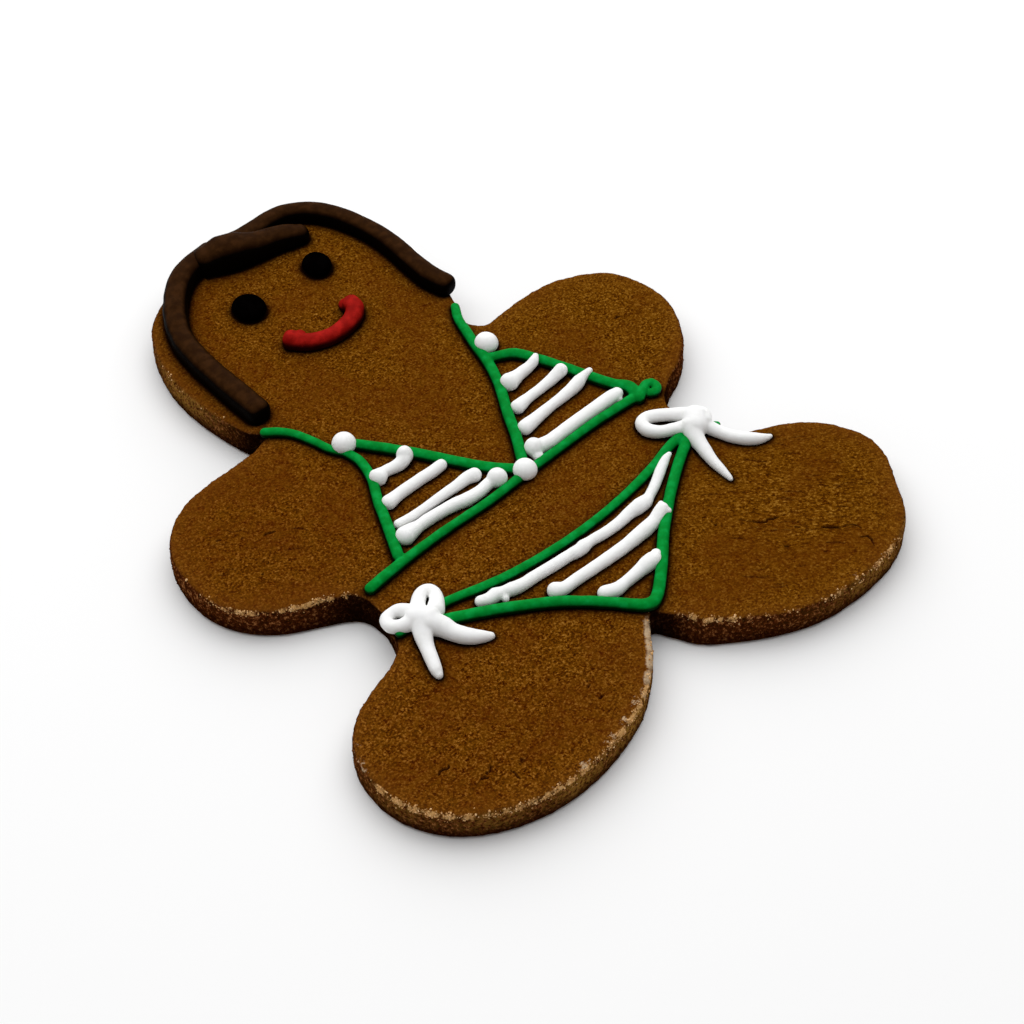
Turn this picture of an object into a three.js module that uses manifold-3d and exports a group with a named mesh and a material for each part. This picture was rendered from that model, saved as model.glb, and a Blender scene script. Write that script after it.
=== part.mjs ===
// A gingerbread figure with piped icing: plump dough arms and legs, a round head, two long strands of
// hair and a fringe, dot eyes, a smile, and a striped two-piece swimsuit tied with bows.
// Millimetres, +Z up. The figure lies on its back: +Y runs from the feet to the head, +X to its left hand.

import * as THREE from 'three';
import { mergeVertices } from 'three/addons/utils/BufferGeometryUtils.js';
import Module from 'manifold-3d';

const wasm = await Module();
wasm.setup();

// ---- driving dimensions --------------------------------------------------------------------------

const DOUGH_HEIGHT = 5.7;       // flat top of the baked dough above the table
const RIM_ROUNDING = 1.0;       // how far the upper rim rolls over, in height and in plan
const RIM_SEGMENTS = 2;         // facets across a rounded rim
const BASE_SINK = 0.4;          // how much of the lower rounding is flattened against the tray
const OUTLINE_STEPS = 176;      // sides of the dough outline
const ICING_FOOT = 0.65;        // height of an icing line's axis above its foot, in line radii
const DOT_SIDES = 18;           // sides of a dot of icing
const LINE_SIDES = 7;           // sides of an icing line, its flat foot included
const RING_SPACING = 3.2;       // distance between the rings of an icing line, in line radii
const SHARP_BEND = 50;          // turn at a route point, in degrees, where a line is made in two stretches
const BLUNT_END = [[0.92, 0.4], [0.66, 0.75]];  // reach and scale of the rings that round an end
const CLEARANCE = 0.3;          // gap kept where one icing piece crosses another
const TRAY_WIDTH = 200;         // width of the block that trims the dough flat underneath
const TRAY_DEPTH = 20;

const COLOURS = {
  gingerbread: { color: 0x6b4210, roughness: 0.85, metalness: 0 },
  brownIcing: { color: 0x3a2416, roughness: 0.45, metalness: 0 },
  blackIcing: { color: 0x060303, roughness: 0.4, metalness: 0 },
  redIcing: { color: 0xa01c18, roughness: 0.45, metalness: 0 },
  greenIcing: { color: 0x0a8a3c, roughness: 0.4, metalness: 0 },
  whiteIcing: { color: 0xf3f3f1, roughness: 0.45, metalness: 0 },
};

// The dough's outline, anticlockwise from the figure's left side of the neck. Dough that was cut and
// moved by hand isn't quite even, so the two sides differ by a millimetre or so.
const OUTLINE = [
  // head
  [19.8, 20.6], [21.7, 25.3], [22.9, 30.4], [23.9, 36.5], [23.8, 43.0], [22.4, 49.4], [18.0, 57.0],
  [11.4, 61.8], [4.0, 63.6], [-4.0, 63.4], [-11.4, 61.3], [-20.8, 55.6], [-24.3, 49.9], [-26.2, 43.0],
  [-26.5, 36.0], [-25.6, 28.7], [-24.2, 23.3], [-22.8, 21.0],
  // right arm
  [-24.6, 19.8], [-28.6, 19.2], [-34.6, 18.7], [-40.7, 17.4], [-45.8, 14.0], [-49.0, 9.1], [-50.0, 3.4],
  [-49.5, -2.2], [-47.0, -7.2], [-42.8, -11.2], [-37.6, -13.9], [-33.5, -16.0],
  // waist
  [-31.6, -18.0], [-31.1, -21.5], [-31.9, -25.4], [-33.6, -28.3], [-37.1, -30.4],
  // right leg
  [-41.3, -31.9], [-46.3, -34.6], [-49.9, -38.7], [-51.3, -43.8], [-51.1, -49.1], [-49.3, -53.8],
  [-45.9, -58.1], [-40.0, -61.8], [-33.0, -63.8], [-26.0, -64.0], [-18.4, -62.6], [-11.2, -59.7],
  [-5.2, -54.9], [-1.8, -50.7],
  // crotch
  [0.3, -48.8], [2.1, -51.3],
  // left leg
  [4.4, -55.0], [9.0, -58.5], [14.2, -61.5], [20.5, -63.9], [27.5, -64.7], [34.5, -64.2], [40.6, -62.4],
  [45.0, -59.1], [48.0, -54.3], [50.9, -49.5], [52.0, -45.0], [50.9, -40.7], [48.5, -36.8],
  [44.7, -33.4], [40.2, -31.3],
  // waist
  [37.1, -29.7], [35.0, -27.0], [33.0, -23.4], [32.1, -19.6], [32.8, -16.5],
  // left arm
  [36.0, -13.7], [40.5, -11.4], [43.9, -8.7], [46.5, -5.3], [48.8, -0.8], [49.5, 4.2], [48.5, 9.1],
  [46.3, 13.3], [42.3, 16.1], [37.5, 18.0], [31.4, 18.4], [25.5, 17.8], [22.2, 17.4], [20.8, 18.3],
];

// Short cracks in the baked top: middle, length, width and heading in degrees.
const CRACKS = [
  { at: [-34.2, 3.1], long: 2.4, wide: 0.4, heading: -15 },
  { at: [-42.2, -50.4], long: 2.6, wide: 0.4, heading: 10 },
  { at: [-37.8, -55.1], long: 2.4, wide: 0.4, heading: 14 },
  { at: [-34.9, -57.9], long: 2.2, wide: 0.4, heading: 88 },
  { at: [-16.3, -52.8], long: 1.2, wide: 0.4, heading: 25 },
  { at: [-16.2, -55.5], long: 1.2, wide: 0.4, heading: 9 },
  { at: [26.4, -46.2], long: 5.0, wide: 0.45, heading: -30 },
  { at: [33.9, -55.1], long: 5.2, wide: 0.5, heading: -42 },
  { at: [35.7, -60.0], long: 3.0, wide: 0.4, heading: -80 },
  { at: [25.1, -52.5], long: 1.2, wide: 0.4, heading: -38 },
  { at: [39.6, 3.5], long: 1.3, wide: 0.4, heading: 0 },
];
const CRACK_DEPTH = 0.7;

// ---- closed shapes -------------------------------------------------------------------------------

function toManifold(geometry) {
  const bare = geometry.clone();
  bare.deleteAttribute('normal');
  bare.deleteAttribute('uv');
  const merged = mergeVertices(bare, 1e-4);
  return new wasm.Manifold(new wasm.Mesh({
    numProp: 3,
    vertProperties: new Float32Array(merged.attributes.position.array),
    triVerts: new Uint32Array(merged.index.array),
  }));
}

function toGeometry(solid) {
  const mesh = solid.getMesh();
  const geometry = new THREE.BufferGeometry();
  geometry.setAttribute('position', new THREE.BufferAttribute(new Float32Array(mesh.vertProperties), 3));
  geometry.setIndex(new THREE.BufferAttribute(new Uint32Array(mesh.triVerts), 1));
  geometry.computeVertexNormals();
  return geometry;
}

// The largest body of a solid, so that a sliver left by a cut is dropped.
function mainBody(solid) {
  return solid.decompose().reduce((best, body) => (body.volume() > best.volume() ? body : best));
}

function fuse(solids) {
  return solids.reduce((whole, solid) => whole.add(solid));
}

function cutBy(solid, cutters) {
  return mainBody(cutters.reduce((rest, cutter) => rest.subtract(cutter), solid));
}

// Skins a row of rings, each with the same number of points, and closes both ends with a fan.
function skin(rings) {
  const sides = rings[0].length;
  const positions = rings.flat().flatMap((point) => [point.x, point.y, point.z]);
  const index = [];
  for (let ring = 0; ring < rings.length - 1; ring += 1) {
    for (let side = 0; side < sides; side += 1) {
      const here = ring * sides + side;
      const beside = ring * sides + ((side + 1) % sides);
      index.push(here, beside, here + sides);
      index.push(beside, beside + sides, here + sides);
    }
  }
  const last = (rings.length - 1) * sides;
  for (let side = 1; side < sides - 1; side += 1) {
    index.push(0, side + 1, side);
    index.push(last, last + side, last + side + 1);
  }
  const geometry = new THREE.BufferGeometry();
  geometry.setAttribute('position', new THREE.BufferAttribute(new Float32Array(positions), 3));
  geometry.setIndex(index);
  return geometry;
}

// A value given once, or once for each point of a route, read at a parameter from 0 to 1.
function along(values, parameter) {
  if (!Array.isArray(values)) {
    return values;
  }
  const place = parameter * (values.length - 1);
  const index = Math.min(Math.floor(place), values.length - 2);
  return THREE.MathUtils.lerp(values[index], values[index + 1], place - index);
}

// How sharply a route turns at one of its points, in degrees.
function turnAt(points, index) {
  if (index === 0 || index === points.length - 1) {
    return 0;
  }
  const before = points[index].clone().sub(points[index - 1]);
  const after = points[index + 1].clone().sub(points[index]);
  return THREE.MathUtils.radToDeg(before.angleTo(after));
}

// A line of icing squeezed from a nozzle: a round section with a flat foot that follows a route over
// the dough, with blunt round ends. grow makes the larger shape that clears a neighbour.
function pipedLine({ route, radius, lift = 0, sides = LINE_SIDES }, grow = 0) {
  const points = route.map(([x, y]) => new THREE.Vector3(x, y, 0));
  const spans = points.length - 1;
  const curve = new THREE.CatmullRomCurve3(points, false, 'centripetal');
  const spacing = along(radius, 0.5) * RING_SPACING;
  const footAngle = Math.asin(ICING_FOOT);
  const sweep = Math.PI + 2 * footAngle;

  function ringAt(parameter, overrun, scale) {
    const centre = curve.getPoint(parameter);
    const tangent = curve.getTangent(parameter);
    const across = new THREE.Vector3(-tangent.y, tangent.x, 0);
    const size = (along(radius, parameter) + grow) * scale;
    const foot = DOUGH_HEIGHT + along(lift, parameter) - grow * ICING_FOOT;
    centre.addScaledVector(tangent, overrun * (along(radius, parameter) + grow));
    const ring = [];
    for (let side = 0; side < sides; side += 1) {
      const angle = -footAngle + (sweep * side) / (sides - 1);
      const point = centre.clone().addScaledVector(across, size * Math.cos(angle));
      point.z = foot + size * (ICING_FOOT + Math.sin(angle));
      ring.push(point);
    }
    return ring;
  }

  // One closed stretch of the line, from one of the route's points to another.
  function stretch(first, last) {
    const rings = BLUNT_END.map(([overrun, scale]) => ringAt(first / spans, -overrun, scale));
    for (let span = first; span < last; span += 1) {
      const steps = Math.max(1, Math.round(points[span].distanceTo(points[span + 1]) / spacing));
      for (let step = 0; step < steps; step += 1) {
        rings.push(ringAt((span + step / steps) / spans, 0, 1));
      }
    }
    rings.push(ringAt(last / spans, 0, 1));
    BLUNT_END.toReversed().forEach(([overrun, scale]) => rings.push(ringAt(last / spans, overrun, scale)));
    return toManifold(skin(rings));
  }

  const bends = points.map((point, index) => index).filter((index) => turnAt(points, index) > SHARP_BEND);
  const stops = [0, ...bends, spans];
  return fuse(stops.slice(1).map((stop, index) => stretch(stops[index], stop)));
}

// A dot of icing: a low dome on the dough, or on the lines beneath it, turned from its profile.
function dot({ at, across, along: length, height, lift = 0, turn = 0 }) {
  const profile = [[0, 0], [0.86, 0], [1, 0.22], [0.97, 0.5], [0.78, 0.82], [0.42, 0.97], [0, 1]];
  const points = profile.map(([radius, level]) => new THREE.Vector2(radius / 2, level));
  const dome = new THREE.LatheGeometry(points, DOT_SIDES);
  dome.rotateX(Math.PI / 2);
  dome.scale(across, length, height);
  dome.rotateZ(THREE.MathUtils.degToRad(turn));
  dome.translate(at[0], at[1], DOUGH_HEIGHT + lift);
  return toManifold(dome);
}

// ---- the dough -----------------------------------------------------------------------------------

function crack({ at, long, wide, heading }) {
  const leaf = new THREE.Shape([
    new THREE.Vector2(-long / 2, 0),
    new THREE.Vector2(-long / 6, -wide / 2),
    new THREE.Vector2(long / 5, -wide / 5),
    new THREE.Vector2(long / 2, -wide / 2),
    new THREE.Vector2(long / 6, wide / 2),
    new THREE.Vector2(-long / 5, wide / 4),
  ]);
  const slit = new THREE.ExtrudeGeometry(leaf, { depth: 2 * CRACK_DEPTH, bevelEnabled: false });
  slit.rotateZ(THREE.MathUtils.degToRad(heading));
  slit.translate(at[0], at[1], DOUGH_HEIGHT - CRACK_DEPTH);
  return toManifold(slit);
}

function makeDough() {
  const knots = OUTLINE.map(([x, y]) => new THREE.Vector3(x, y, 0));
  const edge = new THREE.CatmullRomCurve3(knots, true, 'centripetal');
  const ring = edge.getSpacedPoints(OUTLINE_STEPS).slice(0, -1);
  const shape = new THREE.Shape(ring.map((point) => new THREE.Vector2(point.x, point.y)));
  const slab = new THREE.ExtrudeGeometry(shape, {
    depth: DOUGH_HEIGHT + BASE_SINK - 2 * RIM_ROUNDING,
    bevelEnabled: true,
    bevelThickness: RIM_ROUNDING,
    bevelSize: RIM_ROUNDING,
    bevelOffset: -RIM_ROUNDING,
    bevelSegments: RIM_SEGMENTS,
  });
  slab.translate(0, 0, RIM_ROUNDING - BASE_SINK);
  const tray = new THREE.BoxGeometry(TRAY_WIDTH, TRAY_WIDTH, TRAY_DEPTH);
  tray.translate(0, 0, -TRAY_DEPTH / 2);
  return cutBy(toManifold(slab), [toManifold(tray), ...CRACKS.map(crack)]);
}

// ---- the icing -----------------------------------------------------------------------------------

// Green cords of the swimsuit top. They meet at the middle bead and at the two shoulder beads.
const TOP_CORDS = [
  // right shoulder strap and outer side of the right cup
  { route: [[-22.1, 20.8], [-20.4, 19.5], [-18.7, 17.5], [-17.2, 13.8], [-16.2, 10.7], [-14.8, 8.6]],
    radius: [0.8, 0.8, 0.7, 0.7, 0.7, 0.75] },
  { route: [[-14.8, 8.6], [-14.3, 5.4], [-15.2, 1.3], [-17.4, -3.3], [-19.5, -8.4], [-22.2, -14.6]],
    radius: [0.75, 0.8, 0.8, 0.85, 0.9, 0.9] },
  // inner side of the right cup
  { route: [[-12.9, 9.4], [-10.2, 5.9], [-6.1, 0.3], [-2.7, -4.9], [0.2, -9.1], [3.7, -12.8]],
    radius: [0.85, 0.9, 0.9, 0.9, 0.9, 0.9] },
  // chest cord, right end to left end
  { route: [[-29.5, -16.9], [-26.1, -16.4], [-21.4, -15.8], [-13.3, -15.2], [-4.0, -15.0], [4.4, -14.2],
      [12.4, -13.6], [20.6, -13.1], [28.9, -13.2]],
    radius: [0.9, 0.9, 0.8, 0.75, 0.75, 0.8, 0.75, 0.8, 0.85] },
  // left shoulder strap and inner side of the left cup
  { route: [[20.1, 23.3], [18.7, 20.8], [17.7, 17.4], [16.6, 13.3], [15.7, 9.2], [13.7, 3.9],
      [10.6, -2.0], [8.1, -7.2], [5.0, -12.6]],
    radius: [0.75, 0.8, 0.85, 0.9, 0.9, 0.88, 0.9, 0.9, 0.9] },
  // outer side of the left cup, then the curl at its end
  { route: [[16.5, 9.8], [20.2, 7.9], [22.0, 5.1], [23.9, 1.1], [26.2, -4.5], [28.0, -8.6],
      [29.4, -10.8], [29.3, -12.4], [29.0, -13.7]],
    radius: [0.85, 0.9, 0.9, 0.88, 0.88, 0.92, 1.05, 1.1, 1.0] },
  { route: [[29.1, -13.6], [30.4, -13.1], [31.8, -12.4], [32.8, -12.7]],
    radius: [1.0, 0.88, 0.8, 0.78], lift: [0, 0.2, 0.3, 0.3] },
  { route: [[32.8, -12.7], [33.0, -13.4], [32.7, -14.1], [32.0, -14.4], [31.2, -14.0]],
    radius: [0.78, 0.78, 0.78, 0.78, 0.7], lift: [0.3, 0.2, 0.2, 0.1, 0] },
];

// Green cords of the swimsuit bottom: the waist, then the two sides down to the point.
const BOTTOM_CORDS = [
  { route: [[-31.4, -26.6], [-27.0, -26.4], [-22.4, -26.6], [-17.0, -27.8], [-11.5, -28.8],
      [-3.0, -29.4], [5.0, -29.2], [12.5, -28.3], [19.9, -26.8], [26.9, -24.9], [32.0, -25.1],
      [34.7, -26.5]],
    radius: [0.8, 0.8, 0.75, 0.72, 0.72, 0.7, 0.7, 0.7, 0.78, 0.85, 0.75, 0.55] },
  { route: [[-27.0, -28.2], [-21.1, -31.1], [-15.8, -34.0], [-9.1, -38.3], [-4.0, -42.9], [-1.3, -45.9],
      [0.1, -47.2], [1.3, -47.6], [2.6, -47.1], [6.6, -43.7], [12.7, -37.7], [19.6, -32.0],
      [24.5, -28.5], [28.5, -26.0]],
    radius: [0.9, 0.92, 0.92, 0.92, 0.9, 0.95, 1.0, 1.0, 0.95, 0.92, 0.92, 0.88, 0.88, 0.9] },
];

// White stripes, each with its route, its radii and where its end climbs over a cord.
const STRIPES = {
  right_cup_stripe_1: { route: [[-14.4, 0.5], [-12.8, 1.0], [-11.4, 0.8], [-10.1, 0.6], [-9.0, 0.7],
      [-8.1, 1.4]],
    radius: [1.45, 0.88, 0.93, 1.03, 1.15, 1.1], lift: [0, 0, 0, 0.1, 0.4, 0.6] },
  right_cup_stripe_2: { route: [[-16.4, -4.8], [-14.2, -4.4], [-11.6, -4.2], [-9.1, -4.1], [-6.9, -4.1],
      [-5.0, -4.0]],
    radius: [1.16, 0.96, 0.91, 0.94, 0.95, 0.9], lift: [0, 0, 0, 0, 0, 0.2] },
  right_cup_stripe_3: { route: [[-18.0, -9.2], [-15.8, -9.4], [-12.7, -9.3], [-9.4, -9.1], [-5.7, -9.0],
      [-3.6, -8.9], [-2.4, -9.2]],
    radius: [0.7, 0.72, 0.71, 0.77, 0.88, 1.0, 1.13] },
  right_cup_stripe_4: { route: [[-18.9, -12.2], [-15.9, -11.8], [-13.7, -11.7], [-10.9, -11.8],
      [-8.4, -12.1], [-6.6, -12.5], [-4.1, -12.5], [-1.6, -12.1], [0.2, -12.1]],
    radius: [1.52, 0.95, 0.96, 0.94, 1.04, 1.08, 0.97, 0.97, 1.2] },
  left_cup_stripe_1: { route: [[15.3, 3.0], [17.7, 3.5], [19.8, 3.7], [21.1, 3.8], [22.1, 4.4]],
    radius: [1.43, 1.0, 0.88, 0.86, 0.5], lift: [0, 0, 0.1, 0.6, 1.1] },
  left_cup_stripe_2: { route: [[12.6, -2.2], [15.4, -1.6], [18.2, -1.3], [21.0, -1.0], [23.1, -0.9]],
    radius: [1.18, 0.83, 0.82, 0.94, 1.11], lift: [0, 0, 0, 0.1, 0.7] },
  left_cup_stripe_3: { route: [[10.5, -6.6], [13.8, -6.0], [16.7, -5.5], [19.6, -5.2], [22.4, -4.8],
      [23.9, -4.5], [25.0, -4.3], [26.6, -4.2]],
    radius: [1.23, 0.98, 0.85, 0.86, 1.03, 1.09, 0.8, 0.48], lift: [0, 0, 0, 0, 0, 0.1, 0.6, 1.2] },
  left_cup_stripe_4: { route: [[8.4, -11.1], [11.4, -11.6], [13.9, -11.4], [19.2, -11.0], [24.0, -10.8],
      [26.3, -10.7], [27.0, -10.6]],
    radius: [1.3, 1.12, 1.1, 1.1, 1.18, 1.12, 1.0] },
  bottom_stripe_1: { route: [[-18.3, -30.0], [-17.0, -30.6], [-15.7, -30.6], [-14.5, -30.7],
      [-13.4, -31.3], [-11.5, -31.7], [-9.1, -31.7], [-5.0, -31.9], [-2.0, -32.0], [-0.3, -32.2],
      [0.8, -32.1], [2.3, -31.9], [5.3, -32.1], [8.2, -32.0], [11.1, -31.6], [12.9, -31.6],
      [14.4, -31.5], [15.6, -31.0], [18.0, -29.8], [20.3, -28.4], [22.6, -27.2], [23.7, -26.9]],
    radius: [0.86, 1.02, 1.08, 0.77, 1.06, 0.98, 0.9, 0.9, 0.89, 0.97, 1.1, 0.8, 0.85, 0.85, 0.99, 1.18,
      1.11, 0.8, 0.81, 0.87, 0.65, 0.38],
    lift: [0, 0, 0, 0, 0, 0, 0, 0, 0, 0, 0, 0, 0, 0, 0, 0, 0, 0, 0.1, 0.3, 0.8, 1.2] },
  bottom_stripe_2: { route: [[-8.4, -36.1], [-7.0, -36.5], [-4.7, -36.4], [0.0, -36.4], [5.6, -36.3],
      [10.2, -35.9], [12.7, -35.5], [14.3, -35.0], [14.9, -34.8]],
    radius: [1.28, 1.01, 0.92, 0.94, 1.0, 1.16, 1.06, 1.1, 1.0],
    lift: [0, 0, 0, 0, 0, 0, 0.1, 0.5, 0.8] },
  bottom_stripe_3: { route: [[-3.0, -41.4], [-1.2, -42.0], [0.8, -41.8], [3.3, -41.6], [5.7, -41.4],
      [7.1, -41.4], [8.1, -40.9]],
    radius: [1.14, 1.08, 0.88, 0.98, 1.25, 1.27, 0.85], lift: [0, 0, 0, 0, 0, 0.2, 0.4] },
};

// Drips and forked ends where the nozzle lifted.
const DRIPS = {
  left_cup_stripe_4: [
    { route: [[8.3, -11.8], [8.1, -12.9]], radius: [1.0, 0.8] },
    { route: [[26.7, -10.8], [26.5, -11.6]], radius: 0.62 },
  ],
  bottom_stripe_1: [
    { route: [[-14.4, -31.2], [-15.0, -32.0]], radius: [0.6, 0.55] },
  ],
  bottom_stripe_2: [
    { route: [[14.4, -35.0], [15.5, -33.9]], radius: [0.9, 0.5], lift: [0.5, 1.0] },
    { route: [[14.4, -35.0], [15.4, -35.7]], radius: [0.9, 0.5], lift: [0.5, 1.0] },
  ],
};

// Round dollops at the end of a stripe.
const DOLLOPS = {
  right_cup_stripe_1: { at: [-8.3, 1.3], across: 2.7, along: 2.7, height: 2.9 },
  right_cup_stripe_4: { at: [-0.2, -12.3], across: 3.3, along: 3.3, height: 2.7 },
  left_cup_stripe_1: { at: [15.1, 2.9], across: 3.1, along: 3.1, height: 2.6 },
  left_cup_stripe_4: { at: [8.55, -11.1], across: 3.1, along: 3.2, height: 2.7 },
};

// White beads where the cords meet.
const BEADS = {
  right_shoulder_bead: { at: [-14.1, 9.9], across: 4.0, along: 4.0, height: 2.9 },
  left_shoulder_bead: { at: [18.1, 12.5], across: 4.0, along: 4.1, height: 2.9 },
  middle_bead: { at: [4.3, -13.9], across: 3.9, along: 4.0, height: 2.8 },
};

// White bows: each a knot, two loops and two tails, laid over the end of the waist cord.
const BOWS = {
  right_bow: [
    { route: [[-28.0, -26.9], [-27.1, -28.2]], radius: 2.05, lift: 0.2 },
    { route: [[-27.5, -26.2], [-25.7, -24.0], [-24.15, -22.95], [-23.05, -23.05], [-22.75, -24.05],
        [-23.4, -25.6], [-25.0, -27.4]],
      radius: [1.25, 1.08, 0.97, 0.95, 0.98, 1.08, 1.4], lift: [0.8, 0.4, 0.2, 0.1, 0.2, 0.4, 0.6] },
    { route: [[-27.8, -25.6], [-29.1, -23.5], [-30.35, -23.1], [-31.6, -23.45], [-31.85, -25.0],
        [-30.9, -26.15], [-29.2, -26.9]],
      radius: [1.2, 1.0, 0.88, 0.94, 1.03, 1.02, 1.3], lift: [0.7, 0.4, 0.2, 0.1, 0.2, 0.5, 0.7] },
    { route: [[-28.4, -28.4], [-29.3, -29.75], [-30.2, -31.75], [-31.15, -34.2], [-31.8, -36.0],
        [-32.0, -36.8]],
      radius: [1.7, 1.4, 1.1, 1.02, 0.88, 0.6], lift: [0.4, 0.2, 0, 0, 0, 0] },
    { route: [[-27.2, -28.8], [-26.1, -30.5], [-25.5, -32.1], [-24.6, -33.65], [-23.5, -34.8],
        [-22.3, -35.6], [-21.3, -36.15]],
      radius: [1.85, 1.55, 1.32, 1.3, 1.14, 0.88, 0.58], lift: [0.4, 0.2, 0.1, 0, 0, 0, 0] },
  ],
  left_bow: [
    { route: [[32.2, -23.8], [31.0, -25.2]], radius: 2.0, lift: 0.3 },
    { route: [[32.0, -22.6], [30.2, -20.5], [28.05, -18.75], [26.55, -18.05], [25.35, -18.5],
        [25.05, -20.1], [26.2, -21.9], [28.3, -23.2], [30.2, -24.4]],
      radius: [1.2, 1.02, 1.0, 1.0, 1.05, 1.04, 0.98, 0.98, 1.2],
      lift: [0.8, 0.5, 0.3, 0.1, 0.1, 0.1, 0.3, 0.5, 0.7] },
    { route: [[31.7, -23.4], [32.7, -22.7], [33.8, -23.1], [33.9, -24.1], [32.8, -25.1]],
      radius: [1.4, 1.2, 1.05, 1.1, 1.45], lift: [0.7, 0.6, 0.5, 0.6, 0.6] },
    { route: [[32.5, -25.3], [33.0, -26.8], [33.7, -28.5], [34.6, -30.3], [35.7, -31.8], [37.1, -33.1],
        [38.6, -33.8], [39.5, -34.0]],
      radius: [1.25, 1.05, 0.95, 0.98, 1.03, 0.95, 0.6, 0.36], lift: [0.5, 0.3, 0.1, 0, 0, 0, 0, 0] },
    { route: [[30.4, -25.0], [29.55, -27.0], [29.1, -29.15], [28.55, -31.9], [28.35, -34.3],
        [28.25, -35.9], [28.2, -36.6]],
      radius: [1.8, 1.35, 1.08, 0.88, 0.66, 0.5, 0.34], lift: [0.5, 0.3, 0.1, 0, 0, 0, 0] },
  ],
};

const HAIR = {
  hair_right: { route: [[-4.6, 61.6], [-9.3, 60.4], [-13.0, 58.2], [-17.8, 52.4], [-20.25, 46.7],
      [-21.0, 40.9], [-21.0, 34.6], [-20.8, 28.8], [-20.6, 25.3]],
    radius: [2.0, 2.15, 2.15, 2.05, 2.02, 2.05, 2.1, 2.15, 2.15], sides: 10 },
  hair_left: { route: [[-0.2, 61.2], [3.1, 61.0], [6.5, 61.35], [11.1, 61.5], [15.05, 59.5],
      [18.0, 55.7], [19.8, 51.2], [20.9, 46.4], [21.2, 41.5], [21.0, 36.0], [21.05, 31.6], [21.75, 28.6]],
    radius: [1.9, 1.9, 1.85, 1.8, 1.8, 1.8, 1.8, 1.8, 1.85, 1.9, 1.95, 1.9], sides: 10 },
};
const FRINGE = { route: [[-5.8, 60.0], [-3.4, 59.4], [-0.2, 58.35], [3.2, 57.35], [6.6, 56.75],
    [9.2, 55.9], [10.7, 55.35]],
  radius: [2.6, 3.15, 3.1, 2.5, 2.25, 2.1, 1.8], sides: 10 };

const MOUTH = { route: [[-6.0, 34.75], [-4.6, 33.05], [-2.5, 31.85], [-0.15, 31.3], [2.45, 31.5],
    [5.1, 32.45], [6.65, 33.95], [6.75, 34.9]],
  radius: [1.6, 1.45, 1.4, 1.38, 1.42, 1.52, 1.6, 1.6] };
// Where the smile turns up at its two ends.
const MOUTH_ENDS = [
  { route: [[6.7, 35.0], [6.05, 36.0]], radius: [1.2, 1.1], lift: 0.1 },
  { route: [[-5.4, 34.9], [-4.5, 34.75]], radius: 1.2, lift: 0.1 },
];

const EYES = {
  right_eye: { at: [-6.75, 46.35], across: 5.7, along: 6.4, height: 2.45 },
  left_eye: { at: [8.6, 47.4], across: 5.0, along: 5.8, height: 2.4, turn: -12 },
};

// ---- assembly ------------------------------------------------------------------------------------

const group = new THREE.Group();

function place(name, solid, finish) {
  const mesh = new THREE.Mesh(toGeometry(solid), new THREE.MeshStandardMaterial(COLOURS[finish]));
  mesh.name = name;
  group.add(mesh);
}

function clearanceOf(lines) {
  return lines.map((line) => pipedLine(line, CLEARANCE));
}

place('dough', makeDough(), 'gingerbread');

place('hair_right', pipedLine(HAIR.hair_right), 'brownIcing');
place('hair_left', cutBy(pipedLine(HAIR.hair_left), clearanceOf([HAIR.hair_right])), 'brownIcing');
place('hair_fringe', cutBy(pipedLine(FRINGE), clearanceOf(Object.values(HAIR))), 'brownIcing');

place('mouth', fuse([MOUTH, ...MOUTH_ENDS].map((line) => pipedLine(line))), 'redIcing');
for (const [name, eye] of Object.entries(EYES)) {
  place(name, dot(eye), 'blackIcing');
}

place('top_cords', fuse(TOP_CORDS.map((line) => pipedLine(line))), 'greenIcing');
place('bottom_cords', fuse(BOTTOM_CORDS.map((line) => pipedLine(line))), 'greenIcing');
const overCords = clearanceOf([...TOP_CORDS, ...BOTTOM_CORDS]);

const beads = Object.values(BEADS).map((bead) => dot({
  ...bead, across: bead.across + 2 * CLEARANCE, along: bead.along + 2 * CLEARANCE, height: bead.height * 2,
}));
for (const [name, bead] of Object.entries(BEADS)) {
  place(name, cutBy(dot(bead), overCords), 'whiteIcing');
}
const stripeCutters = [...overCords, ...beads];
let lastStripes = [];
for (const [name, stripe] of Object.entries(STRIPES)) {
  const pieces = [stripe, ...(DRIPS[name] ?? [])].map((line) => pipedLine(line));
  if (DOLLOPS[name]) {
    pieces.push(dot(DOLLOPS[name]));
  }
  place(name, cutBy(fuse(pieces), [...stripeCutters, ...lastStripes]), 'whiteIcing');
  lastStripes = [pipedLine(stripe, CLEARANCE)];
}
for (const [name, lines] of Object.entries(BOWS)) {
  place(name, cutBy(fuse(lines.map((line) => pipedLine(line))), overCords), 'whiteIcing');
}

// The origin is the middle of the figure's box, on the table.
const box = new THREE.Box3().setFromObject(group);
const middle = box.getCenter(new THREE.Vector3());
group.position.set(-middle.x, -middle.y, 0);

export default group;
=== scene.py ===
import math

import bpy
import bmesh
import numpy as np
from mathutils import Matrix, Vector, noise
from mathutils.geometry import delaunay_2d_cdt
from mathutils.kdtree import KDTree


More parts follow.
